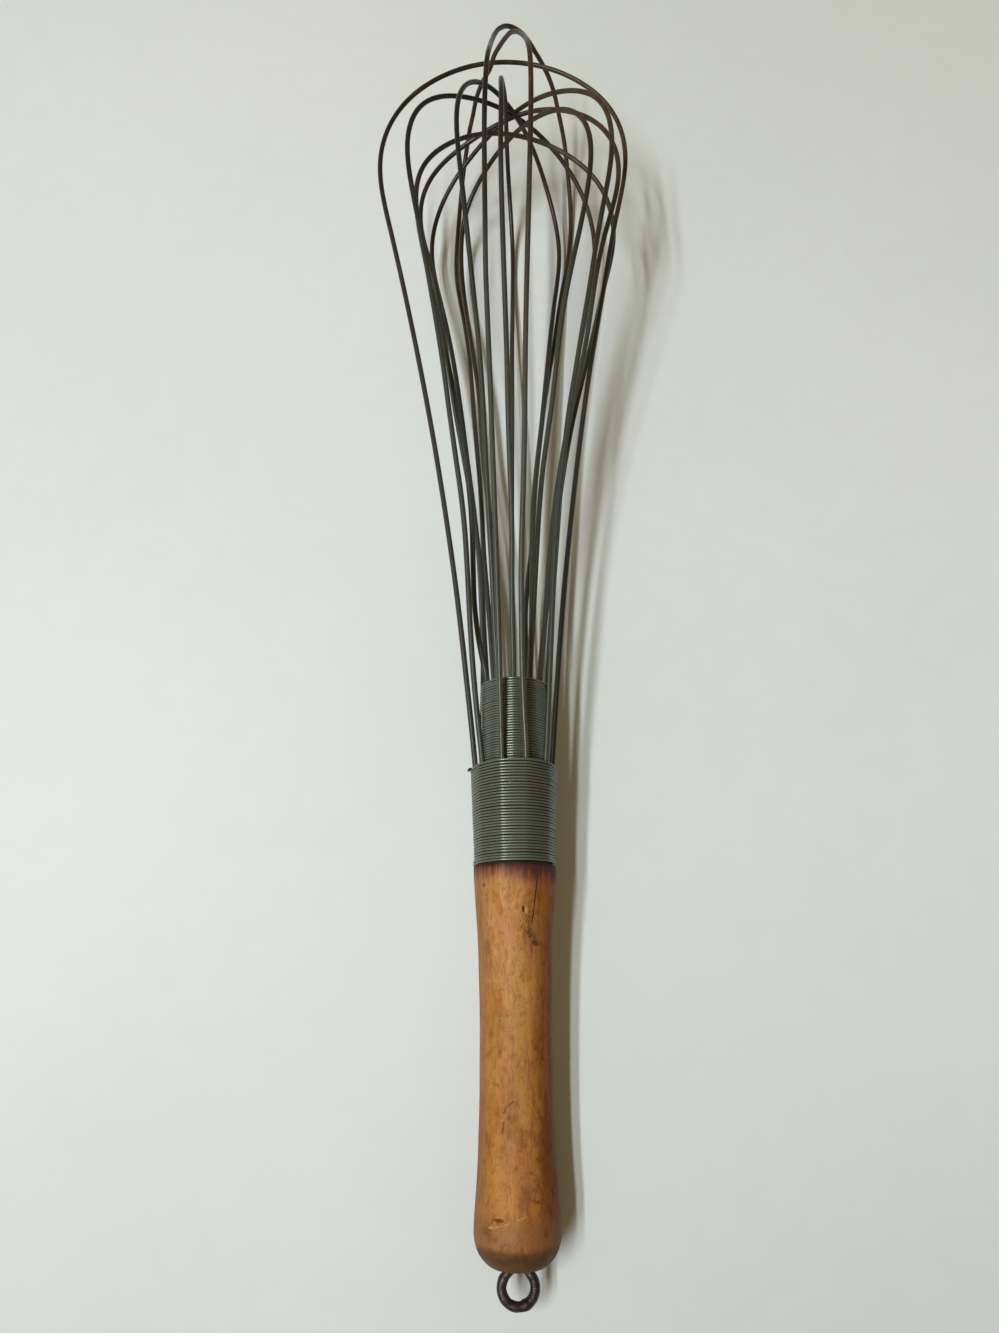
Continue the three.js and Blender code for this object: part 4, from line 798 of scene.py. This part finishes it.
def inner_tail(P):
    p = P[-1]
    d = P[-1] - P[-4]
    d /= np.linalg.norm(d)
    out = np.array([p[0], 0, p[2]])
    out /= np.linalg.norm(out)
    return np.array([p + d * 0.7 + np.array([0, 0.2, 0]) + out * 0.1, p + d * 1.5 + np.array([0, 0.55, 0]) + out * 0.35, p + d * 2.3 + np.array([0, 0.2, 0]) + out * 0.75, p + d * 2.7 - np.array([0, 0.7, 0]) + out * 0.8])


inner = winding("inner_binding_wire", 82.0, 125.2, 40.4, math.radians(-66), 0.0, 11.05, 11.05, 31, tail_high=inner_tail)
inner.data.materials.append(BIND)

# ------------------------------------------------------------------ table
bpy.ops.mesh.primitive_plane_add(size=8.0, location=(0, 0, 0))
floor = bpy.context.object
floor.name = "table"
m = Nodes("pale_table")
tc = m.new("ShaderNodeTexCoord").outputs["Object"]
w1 = m.noise(tc, 2.2, 3, 0.5)
w2 = m.noise(tc, 60.0, 4, 0.6)
c = m.mix(m.ramp(w1, 0.3, 0.7), lin(229, 231, 230), lin(222, 225, 223))
c = m.mix(m.math("MULTIPLY", m.ramp(w2, 0.35, 0.65), 0.10), c, lin(214, 214, 206))
tx, ty, tz = m.xyz(tc)
# painted shade: the table is darkened toward -y and slightly toward +x, standing in for uneven light across it
c = m.mix(1.0, c, m.mix(m.ramp(ty, -0.42, -0.08), (0.77, 0.77, 0.80, 1), (1.02, 1.02, 1.05, 1)), "MULTIPLY")
c = m.mix(1.0, c, m.mix(m.ramp(tx, -0.10, 0.10), (1, 1, 1, 1), (0.955, 0.96, 0.965, 1)), "MULTIPLY")
m.link(c, m.bsdf.inputs["Base Color"])
m.bsdf.inputs["Roughness"].default_value = 0.62
m.bsdf.inputs["Specular IOR Level"].default_value = 0.25
floor.data.materials.append(m.mat)

# ------------------------------------------------------------------ light: two long cool lamps high on the left, a dim warm room round them
world = bpy.data.worlds.new("room")
scene.world = world
world.use_nodes = True
wt = world.node_tree
bg = wt.nodes["Background"]
tcw = wt.nodes.new("ShaderNodeTexCoord")
sep = wt.nodes.new("ShaderNodeSeparateXYZ")
wt.links.new(tcw.outputs["Generated"], sep.inputs[0])
mr = wt.nodes.new("ShaderNodeMapRange")
mr.interpolation_type = "SMOOTHSTEP"
wt.links.new(sep.outputs["X"], mr.inputs["Value"])
mr.inputs["From Min"].default_value = -1.0
mr.inputs["From Max"].default_value = 0.7
mx = wt.nodes.new("ShaderNodeMix")
mx.data_type = "RGBA"
mx.inputs[6].default_value = (0.275, 0.225, 0.12, 1)
mx.inputs[7].default_value = (0.225, 0.18, 0.09, 1)
wt.links.new(mr.outputs["Result"], mx.inputs["Factor"])
wt.links.new(mx.outputs[2], bg.inputs["Color"])
bg.inputs["Strength"].default_value = 1.0


def tube_lamp(name, loc, width, length, power, color):
    """A long lamp that faces straight down, its length along Y."""
    d = bpy.data.lights.new(name, "AREA")
    d.shape = "RECTANGLE"
    d.size = width
    d.size_y = length
    d.energy = power
    d.color = color
    o = bpy.data.objects.new(name, d)
    scene.collection.objects.link(o)
    o.location = loc
    return o


tube_lamp("lamp_a", (-0.77, -0.88, 2.6), 0.11, 2.0, 34.5, (0.91, 0.985, 1.0))
tube_lamp("lamp_b", (-1.13, -0.88, 2.6), 0.11, 2.0, 47.5, (0.91, 0.985, 1.0))

# ------------------------------------------------------------------ ride and replace
for piece, node, slot in [(handle, "handle", "wood"), (eye, "hanging_eye", "iron"), (outer, "outer_binding", "binding_wire"), (inner, "inner_binding", "binding_wire")]:
    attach(piece, "root")
    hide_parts(node)
for piece, node in pieces:
    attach(piece, "root")
    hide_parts(node)
